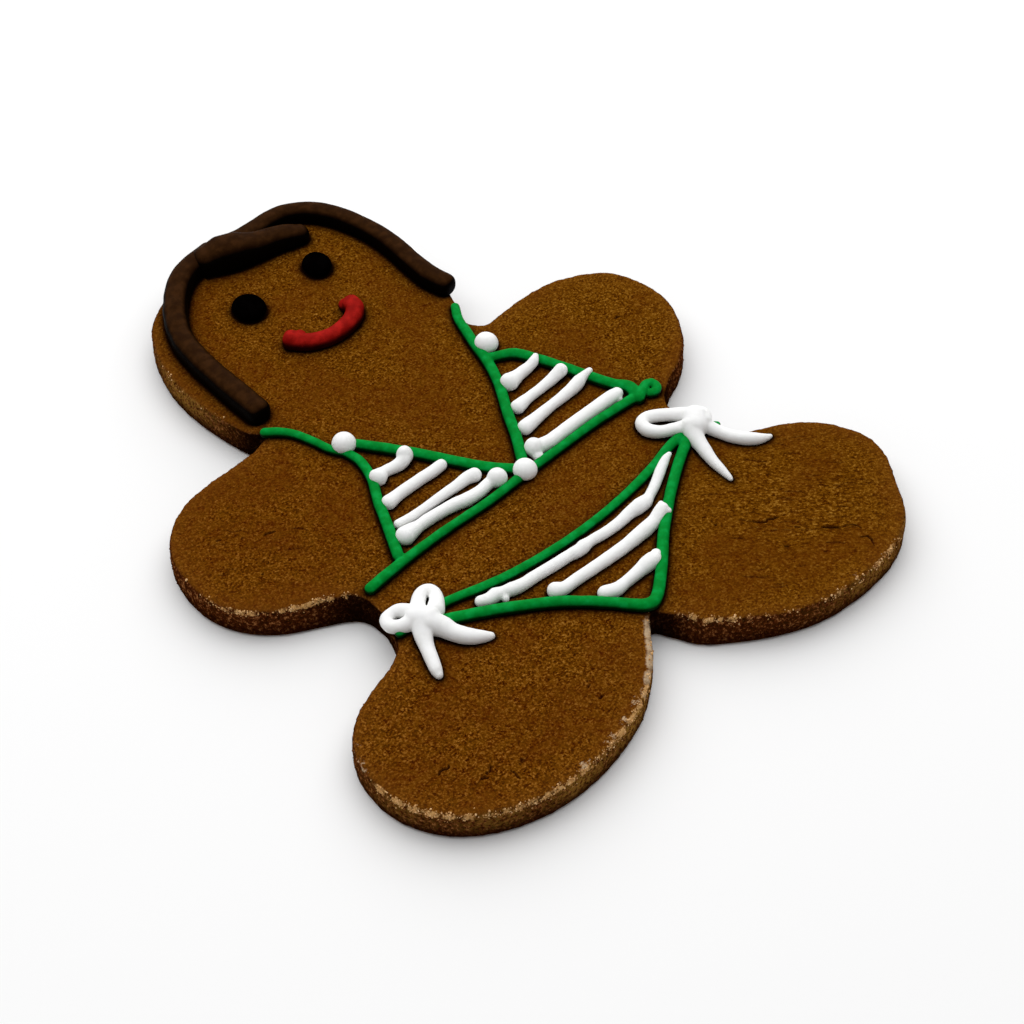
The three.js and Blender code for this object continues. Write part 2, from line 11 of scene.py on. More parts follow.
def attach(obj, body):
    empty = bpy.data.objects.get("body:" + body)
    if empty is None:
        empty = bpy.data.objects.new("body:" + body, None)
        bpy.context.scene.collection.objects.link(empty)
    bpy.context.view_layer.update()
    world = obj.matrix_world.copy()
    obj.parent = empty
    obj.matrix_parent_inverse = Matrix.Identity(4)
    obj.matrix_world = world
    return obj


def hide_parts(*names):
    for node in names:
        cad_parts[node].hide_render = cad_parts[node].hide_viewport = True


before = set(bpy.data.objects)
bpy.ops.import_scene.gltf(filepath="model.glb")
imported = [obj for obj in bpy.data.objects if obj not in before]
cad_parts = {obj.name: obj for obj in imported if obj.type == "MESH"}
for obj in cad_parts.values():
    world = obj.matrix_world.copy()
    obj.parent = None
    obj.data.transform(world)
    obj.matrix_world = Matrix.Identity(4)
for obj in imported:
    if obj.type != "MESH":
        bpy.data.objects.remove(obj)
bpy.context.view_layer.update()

# Lengths are in mm, in the figure's own axes: +X to its left hand, +Y from feet to head, +Z out of its
# iced face.
MM = 0.001
TOP = 5.7  # the dough's flat top
SHIFT = np.array((-0.299, 0.474))  # from the figure's own axes to the part's origin

# ---- the camera, solved from the figure's symmetry ----

CAMERA_PLACE = (-159.919, -215.877, 288.663)
CAMERA_RIGHT = (0.76479916, -0.64385011, -0.02322245)
CAMERA_UP = (0.49269689, 0.56126595, 0.66500399)
CAMERA_AHEAD = (0.41512892, 0.52003612, -0.74647867)
LENS, SENSOR = 84.063, 36.0  # focal length, and the sensor's width


def make_camera():
    data = bpy.data.cameras.new("camera")
    data.sensor_fit = "HORIZONTAL"
    data.sensor_width = SENSOR
    data.lens = LENS
    data.clip_start = 0.01
    data.clip_end = 10.0
    camera = bpy.data.objects.new("camera", data)
    bpy.context.scene.collection.objects.link(camera)
    x, y, z = CAMERA_PLACE
    place = Vector((x + SHIFT[0], y + SHIFT[1], z)) * MM
    axes = Matrix((CAMERA_RIGHT, CAMERA_UP, -Vector(CAMERA_AHEAD))).transposed().to_4x4()
    camera.matrix_world = Matrix.Translation(place) @ axes
    bpy.context.scene.camera = camera


make_camera()

# ---- curves and noise ----

TINY = 1e-6  # keeps a division clear of zero where two points meet
NOISE_SEED = Vector((13.7, 4.1, 8.9))
NOISE_FADE, NOISE_STEP = 1.0, 2.1  # how much weaker and finer each octave is than the last


def spline(points, closed=False, fine=40):
    """Centripetal Catmull-Rom through points. Returns dense points and the parameter of each."""
    p = np.asarray(points, float)
    n = len(p)
    if closed:
        q = np.vstack([p[-1:], p, p[:2]])
        spans = n
    else:
        q = np.vstack([2 * p[0] - p[1], p, 2 * p[-1] - p[-2]])
        spans = n - 1
    s = np.linspace(0, 1, fine, endpoint=False)[:, None]
    rows, where = [], []
    for i in range(spans):
        p0, p1, p2, p3 = q[i], q[i + 1], q[i + 2], q[i + 3]
        d0 = max(np.linalg.norm(p1 - p0), TINY) ** 0.5
        d1 = max(np.linalg.norm(p2 - p1), TINY) ** 0.5
        d2 = max(np.linalg.norm(p3 - p2), TINY) ** 0.5
        t1 = ((p1 - p0) / d0 - (p2 - p0) / (d0 + d1) + (p2 - p1) / d1) * d1
        t2 = ((p2 - p1) / d1 - (p3 - p1) / (d1 + d2) + (p3 - p2) / d2) * d1
        a = 2 * p1 - 2 * p2 + t1 + t2
        b = -3 * p1 + 3 * p2 - 2 * t1 - t2
        rows.append(a * s ** 3 + b * s ** 2 + t1 * s + p1)
        where.append(i + s[:, 0])
    if not closed:
        rows.append(p[-1:])
        where.append(np.array([n - 1.0]))
    return np.vstack(rows), np.concatenate(where)


def evenly(points, spacing, closed=False):
    """Resamples a dense line. Returns the new points, and how far along the new and the old ones lie."""
    p = np.vstack([points, points[:1]]) if closed else points
    run = np.concatenate([[0], np.cumsum(np.linalg.norm(np.diff(p, axis=0), axis=1))])
    count = max(4, int(round(run[-1] / spacing)))
    at = np.linspace(0, run[-1], count + 1)
    if closed:
        at = at[:-1]
    cols = [np.interp(at, run, p[:, k]) for k in range(p.shape[1])]
    return np.stack(cols, 1), at, run


def lumps(points, scale, octaves, seed=0.0):
    """Smooth noise in about -1 to 1, with features about scale mm across."""
    offset = NOISE_SEED + Vector((seed, seed * 1.7, -seed))
    inv = 1.0 / scale
    out = np.empty(len(points))
    for i, (x, y, z) in enumerate(points):
        place = Vector((x * inv, y * inv, z * inv)) + offset
        out[i] = noise.fractal(place, NOISE_FADE, NOISE_STEP, octaves)
    return out


def smoothstep(low, high, value):
    t = np.clip((value - low) / (high - low), 0, 1)
    return t * t * (3 - 2 * t)


def nearest(targets, points):
    """Index of, and distance to, each point's nearest target, all flat."""
    tree = KDTree(len(targets))
    for i, (x, y) in enumerate(targets):
        tree.insert((x, y, 0.0), i)
    tree.balance()
    index = np.empty(len(points), int)
    away = np.empty(len(points))
    for i, (x, y) in enumerate(points):
        _, index[i], away[i] = tree.find((x, y, 0.0))
    return index, away


def spot_field(spots, places):
    """The strongest of some soft round spots (x, y, radius, amount) at each place."""
    out = np.zeros(len(places))
    for x, y, size, amount in spots:
        d = np.hypot(places[:, 0] - x, places[:, 1] - y)
        out = np.maximum(out, amount * np.exp(-(d / size) ** 2))
    return out


# ---- meshes ----

RELAX = 0.5  # how far one round of smoothing moves a vertex


def walls(rings, sides):
    """Faces that join a row of rings of the same number of vertices."""
    pairs = [(i, (i + 1) % sides) for i in range(sides)]
    starts = [k * sides for k in range(rings - 1)]
    return [(a + i, a + j, a + sides + j, a + sides + i) for a in starts for i, j in pairs]


def skin(rings, sides):
    """Faces over a row of rings, closed at both ends."""
    last = (rings - 1) * sides
    return walls(rings, sides) + [tuple(range(sides - 1, -1, -1)), tuple(range(last, last + sides))]


def shade(mesh, smooth):
    mesh.polygons.foreach_set("use_smooth", [smooth] * len(mesh.polygons))


def new_object(name, verts, faces, smooth=True):
    mesh = bpy.data.meshes.new(name)
    mesh.from_pydata([tuple(v) for v in verts], [], faces)
    mesh.validate()
    mesh.update()
    piece = bpy.data.objects.new(name, mesh)
    bpy.context.scene.collection.objects.link(piece)
    shade(mesh, smooth)
    return piece


def vectors(data, name):
    out = np.empty(len(data) * 3)
    data.foreach_get(name, out)
    return out.reshape(-1, 3)


def set_vertices(mesh, verts):
    mesh.vertices.foreach_set("co", verts.astype(np.float32).ravel())
    mesh.update()


def fuse(piece, voxel, rounds):
    """Fuses a piece's overlapping bodies into one skin and relaxes it."""
    remesh = piece.modifiers.new("fuse", "REMESH")
    remesh.mode = "VOXEL"
    remesh.voxel_size = voxel * MM
    relax = piece.modifiers.new("relax", "SMOOTH")
    relax.factor = RELAX
    relax.iterations = rounds
    graph = bpy.context.evaluated_depsgraph_get()
    mesh = bpy.data.meshes.new_from_object(piece.evaluated_get(graph))
    old = piece.data
    piece.modifiers.clear()
    piece.data = mesh
    bpy.data.meshes.remove(old)
    mesh.name = piece.name
    shade(mesh, True)


def store(mesh, name, values):
    """Keeps a value for each vertex, for the material to read."""
    layer = mesh.attributes.new(name, "FLOAT", "POINT")
    layer.data.foreach_set("value", np.asarray(values, np.float32))


def stored(mesh, name):
    out = np.empty(len(mesh.vertices), np.float32)
    mesh.attributes[name].data.foreach_get("value", out)
    return out


# ---- the dough: its tables ----

OUTLINE = [
    (19.8, 20.6), (21.7, 25.3), (22.9, 30.4), (23.9, 36.5), (23.8, 43), (22.4, 49.4), (18, 57),
    (11.4, 61.8), (4, 63.6), (-4, 63.4), (-11.4, 61.3), (-20.8, 55.6), (-24.3, 49.9), (-26.2, 43),
    (-26.5, 36), (-25.6, 28.7), (-24.2, 23.3), (-22.8, 21), (-24.6, 19.8), (-28.6, 19.2), (-34.6, 18.7),
    (-40.7, 17.4), (-45.8, 14), (-49, 9.1), (-50, 3.4), (-49.5, -2.2), (-47, -7.2), (-42.8, -11.2),
    (-37.6, -13.9), (-33.5, -16), (-31.6, -18), (-31.1, -21.5), (-31.9, -25.4), (-33.6, -28.3),
    (-37.1, -30.4), (-41.3, -31.9), (-46.3, -34.6), (-49.9, -38.7), (-51.3, -43.8), (-51.1, -49.1),
    (-49.3, -53.8), (-45.9, -58.1), (-40, -61.8), (-33, -63.8), (-26, -64), (-18.4, -62.6), (-11.2, -59.7),
    (-5.2, -54.9), (-1.8, -50.7), (0.3, -48.8), (2.1, -51.3), (4.4, -55), (9, -58.5), (14.2, -61.5),
    (20.5, -63.9), (27.5, -64.7), (34.5, -64.2), (40.6, -62.4), (45, -59.1), (48, -54.3), (50.9, -49.5),
    (52, -45), (50.9, -40.7), (48.5, -36.8), (44.7, -33.4), (40.2, -31.3), (37.1, -29.7), (35, -27),
    (33, -23.4), (32.1, -19.6), (32.8, -16.5), (36, -13.7), (40.5, -11.4), (43.9, -8.7), (46.5, -5.3),
    (48.8, -0.8), (49.5, 4.2), (48.5, 9.1), (46.3, 13.3), (42.3, 16.1), (37.5, 18), (31.4, 18.4),
    (25.5, 17.8), (22.2, 17.4), (20.8, 18.3),
]

# The rim's section, from the tray up: how far it stands in from the outline, and its height.
RIM = [
    (0.75, 0), (0.35, 0.12), (0.1, 0.45), (0, 0.95), (0, 1.7), (0, 2.5), (0, 3.3), (0, 4), (0.03, 4.6),
    (0.1, 5), (0.24, 5.31), (0.48, 5.52), (0.85, 5.64), (1.4, 5.69),
]

# Where the side slopes, so that its rim stands further in than its foot: place, radius, how far.
SLOPES = [
    (-44, -9.5, 2.5, 0.4), (-40.5, -12, 3.5, 0.8), (-36.5, -14, 3.5, 1.2), (-33, -16, 2.5, 1.2),
    (3.5, -53.5, 3, 1), (7, -56.5, 3, 0.9), (11, -59, 3, 0.6),
]
SLOPE_FROM, SLOPE_TO = 0.3, 5.2  # heights between which it slopes

# Cracks in the baked top: a jagged route, half its width and its depth.
CRACKS = [
    ([(-35.3, 3.3), (-34.6, 3.35), (-33.9, 3), (-33.2, 2.75)], 0.14, 0.5),
    ([(-41.6, 7.4), (-40.8, 6.95)], 0.13, 0.3),
    ([(-38.4, 5.2), (-37.8, 5)], 0.09, 0.2),
    ([(-43.4, -50.7), (-42.65, -50.3), (-42.15, -50.3), (-41.7, -50.6), (-41.35, -50.6), (-41, -50.2)],
        0.15, 0.6),
    ([(-39.3, -55.2), (-38.5, -55.35), (-38.2, -55.8)], 0.16, 0.5),
    ([(-37.5, -55.1), (-37.1, -54.9), (-36.5, -54.3)], 0.14, 0.5),
    ([(-35, -56.9), (-34.8, -57.3), (-34.7, -57.7), (-34.9, -58.35), (-34.8, -59)], 0.13, 0.45),
    ([(-16.7, -53), (-15.85, -52.6)], 0.13, 0.4),
    ([(-16.7, -55.6), (-15.8, -55.45)], 0.16, 0.5),
    ([(24.3, -44.9), (25.6, -46.3), (26.3, -46.7), (26.85, -46.45), (27.4, -46.9), (28.6, -47.4)], 0.15,
        0.5),
    ([(31.9, -53.2), (32.7, -53.9), (33.6, -54.7), (34.15, -55.35)], 0.18, 0.7),
    ([(34.15, -55.35), (35.2, -55.5), (35.9, -56), (36.45, -56.75), (36.5, -57.7)], 0.11, 0.35),
    ([(35, -58.65), (35.4, -58.9), (36.1, -59.3), (36.05, -60.2), (35.4, -61.5)], 0.13, 0.45),
    ([(24.8, -52.2), (25.45, -52.7)], 0.14, 0.45),
    ([(28.8, -50.3), (29.5, -51.1)], 0.11, 0.25),
    ([(28.6, -57.1), (29.2, -57.4)], 0.11, 0.25),
    ([(36.7, -51.7), (37.5, -52.3), (38.1, -53)], 0.1, 0.25),
    ([(39.1, 3.4), (39.6, 3.6), (40.2, 3.4)], 0.15, 0.4),
]

# Pits: place, radius, depth.
PITS = [
    (-32.5, -56.6, 0.34, 0.55), (-33.1, -56.9, 0.2, 0.35), (-15.8, -52, 0.18, 0.3), (19.8, -42, 0.2, 0.35),
    (1.4, 36.7, 0.22, 0.4), (15.7, 48.4, 0.25, 0.4), (-37.8, -55, 0.24, 0.4), (-20, -48, 0.16, 0.3),
    (12, -44, 0.16, 0.3), (30, -50, 0.16, 0.3), (-40, -3, 0.16, 0.3), (-8, 24, 0.16, 0.25),
    (9, 26, 0.16, 0.25), (20, -37, 0.16, 0.3), (36, -7, 0.16, 0.3),
]

# Faint wrinkles, all along the way the dough was pulled: how many, their middle, half their spread.
# Then the ranges of their length, half width and depth.
WRINKLED = [(46, (31.0, -46.5), (14.0, 12.0)), (10, (-38.0, 3.0), (8.0, 7.0))]
WRINKLE_ALONG = math.radians(-41)
WRINKLE_LENGTH = (1.2, 4.5)
WRINKLE_HALF = (0.1, 0.17)
WRINKLE_DEPTH = (0.06, 0.14)
WRINKLE_DRIFT = 0.16  # how far a wrinkle strays sideways from one point to the next

# Soft round spots: place, radius, amount. First painted shade in the nooks at waist, crotch and neck.
PAINTED_NOOK_SHADE = [
    (-32.5, -19.5, 9, 1), (33.5, -18.5, 8, 1), (0.3, -50.6, 4.5, 1), (-24, 20, 7.5, 1), (22, 19, 6, 1),
]

# Flour left on the rim.
FLOUR = [
    (-48.7, 2.4, 1.4, 0.25), (-49, 0.1, 1.4, 0.41), (-49, -2.3, 1.4, 0.49), (-48.9, -5.1, 1.5, 0.75),
    (-47.5, -6.8, 1.5, 0.75), (-45.8, -8.1, 1.3, 0.67), (-44, -9.3, 1.2, 0.41), (-42, -10.8, 1.2, 0.67),
    (-40.3, -11.5, 1.4, 0.83), (-38.3, -12, 1.4, 0.83), (-36.6, -12.7, 1.4, 0.83),
    (-34.8, -13.4, 1.3, 0.75), (-32.4, -14.2, 1.3, 0.75), (-30.7, -15.2, 1.2, 0.67),
    (-51.4, -46.8, 1.5, 0.9), (-51, -50.2, 1.6, 0.9), (-50.1, -53, 1.5, 0.9), (-48.5, -55.1, 1.5, 0.9),
    (-46.8, -57.1, 1.5, 0.8), (-44.8, -59.2, 1.4, 0.8), (-42.4, -61.1, 1.3, 0.8), (-40, -62.3, 1.4, 0.8),
    (-38.2, -62.9, 1.4, 0.8), (-36, -63.5, 1.5, 0.8), (-33.5, -64, 1.5, 0.8), (-31.6, -63.9, 1.4, 0.8),
    (-29.5, -63.8, 1.3, 0.74), (-26.5, -63.4, 1.6, 0.81), (-23.8, -62.9, 1.3, 0.65),
    (-21, -62.2, 1.6, 0.81), (-18.4, -61.7, 1.7, 1), (-15.5, -60.6, 1.8, 1), (-13.3, -59.5, 1.7, 1),
    (-10.7, -58.4, 1.7, 1), (-8.1, -56.9, 1.3, 0.7), (-6.1, -54.9, 1.4, 0.7), (-4.4, -52.6, 1.7, 0.7),
    (-3.2, -50.6, 1.7, 0.7), (-2.2, -48.6, 1.5, 0.7), (3.3, -48.9, 1.3, 0.46), (3.7, -51.1, 1.2, 0.55),
    (4.5, -53.1, 1.2, 0.74), (6.2, -54.9, 1.2, 0.92), (7.1, -56.4, 1.1, 0.74), (9.2, -57.2, 1.3, 0.83),
    (10.9, -59, 1.2, 0.55), (13.7, -60.1, 1.2, 0.55), (16.8, -61.2, 1.4, 0.46), (22.6, -63.6, 1.5, 0.46),
    (25, -64.2, 1.4, 0.64), (29.1, -64.5, 1.4, 0.46), (33.6, -63.9, 1.6, 0.64), (36.8, -63, 1.8, 0.74),
    (39.4, -61.6, 1.3, 0.46), (42.2, -7.5, 1.3, 0.4), (39.8, -9.2, 1.4, 0.56), (37.4, -10.5, 1.6, 0.64),
    (34.7, -12, 1.4, 0.48), (-24.6, 46.7, 1.3, 0.17), (-25.8, 42.4, 1.5, 0.29), (-26.2, 39.3, 1.5, 0.33),
    (-26.3, 36.3, 1.4, 0.25), (-26.1, 32.3, 1.3, 0.21), (-25.6, 29.2, 1.3, 0.25), (-25.1, 27.2, 1.2, 0.21),
]

# A smooth floury smear along the right leg's inner rim.
SMEAR = [
    (-2.2, -48.9, 1.9, 0.8), (-3, -50.8, 2, 1), (-4.4, -52.9, 2, 1), (-6.2, -55, 2, 1),
    (-8.4, -57.3, 1.8, 0.85), (-10.8, -59.2, 1.6, 0.55),
]

# Paler clumps of flour a little further in, on the right leg's lower and outer rims and the left leg's
# lower rim.
CLUMPS = [
    (-13.2, -58.8, 2, 0.8), (-16.4, -60.4, 1.8, 0.8), (-20.6, -61.9, 2, 0.72), (-26.2, -62.9, 1.7, 0.7),
    (-31.5, -63.8, 1.8, 0.6), (-49.4, -38.6, 1.5, 0.6), (-50.9, -41.8, 1.9, 0.75), (-52, -45.4, 1.6, 0.7),
    (29, -63.2, 1.5, 0.55), (34.4, -62, 1.8, 0.65),
]

# Sides dusted with flour.
DUST = [
    (-14, -60.8, 9, 0.9), (-27, -64, 7, 0.8), (-41, -61, 6, 0.5), (-50, -50, 7, 0.4), (33, -64.3, 9, 0.7),
    (42, -61.5, 6, 0.6), (-26.5, 39, 9, 0.8),
]

# The left leg, where the dough was pulled and its grain runs one way.
PULLED = [(32.0, -46.0, 20.0, 1.0)]

# ---- the dough: its shape ----

LOOP_STEP = 0.4  # spacing along the outline
COARSE = 0.5  # spacing on the open top, halved by the rim and the icing and again by a crack
FINE_BY_RIM, FINE_BY_ICING, FINE_BY_CRACK = 1.2, 0.8, 0.75  # how far off each of them
UNDER_STEP = 3.0  # spacing underneath, and how far the vertices there keep from the edge
ROW_PITCH = 0.8660254  # distance between the rows of a triangular lattice, in steps
LATTICE = (140, 130, 53)  # a lattice's length, half its width, and half the width that is kept


def make_wrinkles():
    rng = np.random.default_rng(5)
    ahead = np.array([math.cos(WRINKLE_ALONG), math.sin(WRINKLE_ALONG)])
    across = np.array([-ahead[1], ahead[0]])
    routes = []
    for count, centre, spread in WRINKLED:
        for _ in range(count):
            at = np.array(centre) + rng.uniform(-1, 1, 2) * spread
            length = rng.uniform(*WRINKLE_LENGTH)
            steps = 3 + int(length)
            run = np.linspace(-0.5, 0.5, steps) * length
            drift = np.cumsum(rng.normal(0, WRINKLE_DRIFT, steps))
            route = at + run[:, None] * ahead + drift[:, None] * across
            half, deep = rng.uniform(*WRINKLE_HALF), rng.uniform(*WRINKLE_DEPTH)
            routes.append((route.round(2).tolist(), half, deep))
    return routes


CUTS = [*CRACKS, *make_wrinkles()]


def outline_ring():
    """The dough's outline at even steps, with the direction into the dough at each."""
    dense, _ = spline(OUTLINE, closed=True, fine=30)
    ring, _, _ = evenly(dense, LOOP_STEP, closed=True)
    ahead = np.roll(ring, -1, axis=0) - np.roll(ring, 1, axis=0)
    ahead /= np.linalg.norm(ahead, axis=1)[:, None]
    return ring, np.stack([-ahead[:, 1], ahead[:, 0]], 1)


def set_in(ring, inward, points):
    """For each point, the nearest of the outline's, how far off that is, and how far in it lies."""
    index, near = nearest(ring, points)
    return index, near, ((points - ring[index]) * inward[index]).sum(1)


def lattice(step):
    """A triangular lattice over the figure. Halving the step keeps the old points and adds new ones."""
    length, half, kept = LATTICE
    rows = int(length / (step * ROW_PITCH))
    cols = int(half / step)
    j, i = np.meshgrid(np.arange(-rows // 2, rows // 2), np.arange(-cols, cols), indexing="ij")
    points = np.column_stack([(i * step + j * step / 2).ravel(), (j * step * ROW_PITCH).ravel()])
    return points[np.abs(points[:, 0]) < kept]


def top_points(ring, inward, inset, icing_edge):
    """Vertices of the top inside the rim, closer together wherever more has to show."""
    cuts = np.vstack([evenly(np.asarray(route, float), 0.2)[0] for route, _, _ in CUTS]
                     + [np.array([[x, y]]) for x, y, _, _ in PITS])
    picked = []
    for level, step in enumerate((COARSE, COARSE / 2, COARSE / 4)):
        points = lattice(step)
        if level == 2:
            low, high = cuts.min(0) - 1, cuts.max(0) + 1
            points = points[((points > low) & (points < high)).all(1)]
            _, away = nearest(cuts, points)
            points = points[away < FINE_BY_CRACK]
        index, near, depth = set_in(ring, inward, points)
        rim = inset[index]
        inside = (depth > rim + 0.3 * step) & (near > rim + 0.3 * step)
        if level == 1:
            inside &= (near < rim + FINE_BY_RIM) | (np.abs(icing_edge(points)) < FINE_BY_ICING)
        picked.append(points[inside])
    points = np.vstack(picked)
    _, first = np.unique(np.round(points / (COARSE / 8)).astype(int), axis=0, return_index=True)
    return points[np.sort(first)]


def filled(loop, points):
    """Triangles over a loop and the points in it, and what each vertex came from."""
    count = len(loop)
    flat = [Vector(p) for p in np.vstack([loop, points])]
    edges = [(i, (i + 1) % count) for i in range(count)]
    verts, _, faces, origin, _, _ = delaunay_2d_cdt(flat, edges, [], 1, 1e-7)
    return np.array([(v.x, v.y) for v in verts]), faces, origin


def make_dough():
    ring, inward = outline_ring()
    count = len(ring)
    sloped = spot_field(SLOPES, ring)[:, None]
    icing_edge = icing_distance()
    verts = []
    for inset, height in RIM:
        lean_in = sloped * smoothstep(SLOPE_FROM, SLOPE_TO, height)
        verts.append(np.column_stack([ring + inward * (inset + lean_in), np.full(count, height)]))
    faces = walls(len(RIM), count)
    top = top_points(ring, inward, sloped[:, 0] + RIM[-1][0], icing_edge)
    under = lattice(UNDER_STEP)
    _, near, depth = set_in(ring, inward, under)
    under = under[(depth > UNDER_STEP) & (near > UNDER_STEP)]
    for row, height, points in ((len(RIM) - 1, TOP, top), (0, 0.0, under)):
        flat, triangles, origin = filled(verts[row][:, :2], points)
        base = sum(len(v) for v in verts)
        number = np.arange(base, base + len(flat))
        for i, sources in enumerate(origin):
            for source in sources:
                if source < count:
                    number[i] = row * count + source
        verts.append(np.column_stack([flat, np.full(len(flat), height)]))
        for triangle in triangles:
            corners = tuple(int(number[k]) for k in triangle)
            faces.append(corners if row else corners[::-1])
    v = np.vstack(verts)
    v[:, :2] += SHIFT
    piece = new_object("gingerbread_dough", v * MM, faces)
    edit = bmesh.new()
    edit.from_mesh(piece.data)
    loose = [vert for vert in edit.verts if not vert.link_faces]
    bmesh.ops.delete(edit, geom=loose, context="VERTS")
    edit.to_mesh(piece.data)
    edit.free()
    bake(piece.data, ring, icing_edge)
    return piece


# ---- the dough: its baked skin ----

# The noises that push the skin in and out: size in mm, octaves and seed.
WAVES = [(9.0, 2, 1.0), (2.6, 3, 4.0), (1.2, 3, 2.0), (0.6, 2, 3.0)]
# How far each of them pushes the top, the side and the lip between the two, mm.
TOP_PUSH = (0.06, 0.05, 0.035, 0.02)
SIDE_PUSH = (0.0, 0.07, 0.08, 0.06)
LIP_PUSH = (0.0, 0.0, 0.05, 0.07)
SIDE_BACK = 0.04  # the side stands back, so that its lumps stay inside the solid
LIP_AT = 0.9  # how far in from the outline the lip's middle lies
LIP_REACH = 0.75
FLOUR_RISE = 0.08  # thickness of the flour left on the rim
SMEAR_CALM = 0.7  # share of the unevenness that the smear evens out
# The heights where each kind of flour fades in, and the distances in where it fades out.
FLOUR_ZONE = ((4.4, 5.0), (0.95, 0.4))
SMEAR_ZONE = ((4.0, 4.8), (1.6, 1.0))
CLUMP_ZONE = ((4.6, 5.2), (2.1, 1.2))
ON_TOP = 4.5  # what lies higher than this is the top or its rim
CUT_STEP = 0.08  # spacing at which a crack's route is read
CUT_REACH = 5.0  # no crack's skin lies further than this from its middle
CUT_TAPER = 0.25  # share of a crack's length over which each end tapers off
CUT_RAGGED = 0.05  # how far the finest noise frays a crack's sides
BLACK_DEPTH = 0.18  # a crack this deep gets painted shade near its darkest
# how dark the painted shade in a pit is
PIT_DARK = 0.8
UNDER_ICING = 0.2  # share of the unevenness left where icing covers the dough
PAINTED_SHADE_FROM = 4.8  # height from which painted shade darkens the dough beside the icing
PAINTED_SHADE_PARTS = [(0.68, 0.5), (0.32, 1.4)]  # that painted shade's two parts: strength, reach


def bake(mesh, ring, icing_edge):
    """An uneven top, ragged sides, cracks and pits, and the fields that the colour reads, painted shade
    among them.
    """
    v = vectors(mesh.vertices, "co") / MM
    normal = vectors(mesh.vertices, "normal")
    own = v[:, :2] - SHIFT
    height = v[:, 2].copy()
    index, near = nearest(ring, own)
    sloped = spot_field(SLOPES, ring)[index] * smoothstep(SLOPE_FROM, SLOPE_TO, height)
    near = np.maximum(near - sloped, 0.0)
    up = smoothstep(1.2, 3.0, height)
    side = smoothstep(0.97, 0.6, normal[:, 2]) * smoothstep(-0.8, -0.3, normal[:, 2])
    under = (height < 0.01) & (near > 1.0)
    lip = np.exp(-((near - LIP_AT) / LIP_REACH) ** 2) * up

    waves = [lumps(v, *wave) for wave in WAVES]

    def mixed(shares):
        return sum(share * wave for share, wave in zip(shares, waves))

    def on_rim(spots, zone):
        return spot_field(spots, own) * smoothstep(*zone[0], height) * smoothstep(*zone[1], near)

    flour = on_rim(FLOUR, FLOUR_ZONE)
    smear = on_rim(SMEAR, SMEAR_ZONE)
    clumps = on_rim(CLUMPS, CLUMP_ZONE)
    push = (1 - side) * mixed(TOP_PUSH)
    push += side * (mixed(SIDE_PUSH) - SIDE_BACK)
    push += lip * mixed(LIP_PUSH)
    push += FLOUR_RISE * flour
    push *= 1 - SMEAR_CALM * smear

    # crack holds the painted shade in the cracks, pits and wrinkles
    crack = np.zeros(len(v))
    depth = np.zeros(len(v))

    def dig(block, off, deep, dark):
        cut = np.exp(-off ** 2)
        depth[block] = np.maximum(depth[block], deep * cut)
        crack[block] = np.maximum(crack[block], dark * cut)

    for route, half, deep in CUTS:
        line, at, run = evenly(np.asarray(route, float), CUT_STEP)
        to_end = np.minimum(at, run[-1] - at) / (CUT_TAPER * run[-1])
        taper = np.sqrt(np.clip(to_end, 0.05, 1))
        block = np.where((np.abs(own - line.mean(0)).max(1) < CUT_REACH) & (height > ON_TOP))[0]
        d = np.sqrt(((own[block][:, None, :] - line[None]) ** 2).sum(2))
        d = (d / taper[None]).min(1) + CUT_RAGGED * waves[-1][block]
        dig(block, d / half, deep, min(1.0, deep / BLACK_DEPTH))
    for x, y, size, deep in PITS:
        d = np.hypot(own[:, 0] - x, own[:, 1] - y)
        block = np.where((d < 3 * size) & (height > ON_TOP))[0]
        dig(block, d[block] / size, deep, PIT_DARK)

    away = icing_edge(own)
    open_share = smoothstep(-0.3, 0.5, away) * (1 - UNDER_ICING) + UNDER_ICING
    out = normal * (push * np.where(side > 0.5, 1.0, open_share))[:, None]
    out[:, 2] -= depth
    out *= smoothstep(0.0, 0.5, height)[:, None]
    v += np.where(under[:, None], 0.0, out)
    v[:, 2] = np.maximum(v[:, 2], 0.0)
    set_vertices(mesh, v * MM)

    height = v[:, 2]
    away = np.maximum(away, 0)
    # painted shade on the dough beside the icing, darkest at the icing's foot
    shade = sum(strength * np.exp(-(away / reach) ** 2) for strength, reach in PAINTED_SHADE_PARTS)
    store(mesh, "edge", np.exp(-np.maximum(near - 0.6, 0) / 1.8) * up)
    store(mesh, "side", side)
    # painted shade, darker towards the side's foot
    store(mesh, "low", smoothstep(3.6, 0.3, height) * side)
    # painted shade in the cracks, pits and wrinkles
    store(mesh, "crack", crack)
    store(mesh, "painted_contact_shade", shade * (height > PAINTED_SHADE_FROM))
    # painted shade in the nooks at waist, crotch and neck
    store(mesh, "painted_nook_shade", spot_field(PAINTED_NOOK_SHADE, own) * side)
    store(mesh, "flour", flour)
    store(mesh, "smear", smear)
    store(mesh, "clumps", clumps)
    store(mesh, "pulled", spot_field(PULLED, own))
    store(mesh, "dust", spot_field(DUST, own) * side * smoothstep(0.4, 2.2, height))


# Loose crumbs: the field that gathers them, the lowest and highest place, how many, the range of their
# sizes, the seed and the finish.
CRUMBS = {
    "rim_crumbs": ("flour", 4.5, 6.2, 900, (0.16, 0.46), 11, "pale_crumb"),
    "side_crumbs": ("side", 0.6, 4.8, 1200, (0.16, 0.36), 23, "crumb"),
}
CRUMB_GATHER = 1.5  # how closely the crumbs gather where the field is strong
CRUMB_SHY = 0.9  # share of them that the nooks keep off
CRUMB_SQUASH = (0.6, 1.3)  # a crumb's widths, in sizes
CRUMB_KNOBS = 0.22  # how far its corners stand in or out, in sizes
CRUMB_SUNK = 0.3  # how far its middle sinks into the dough at most, in sizes
FLOOR_GAP = 0.05  # no crumb reaches lower than this


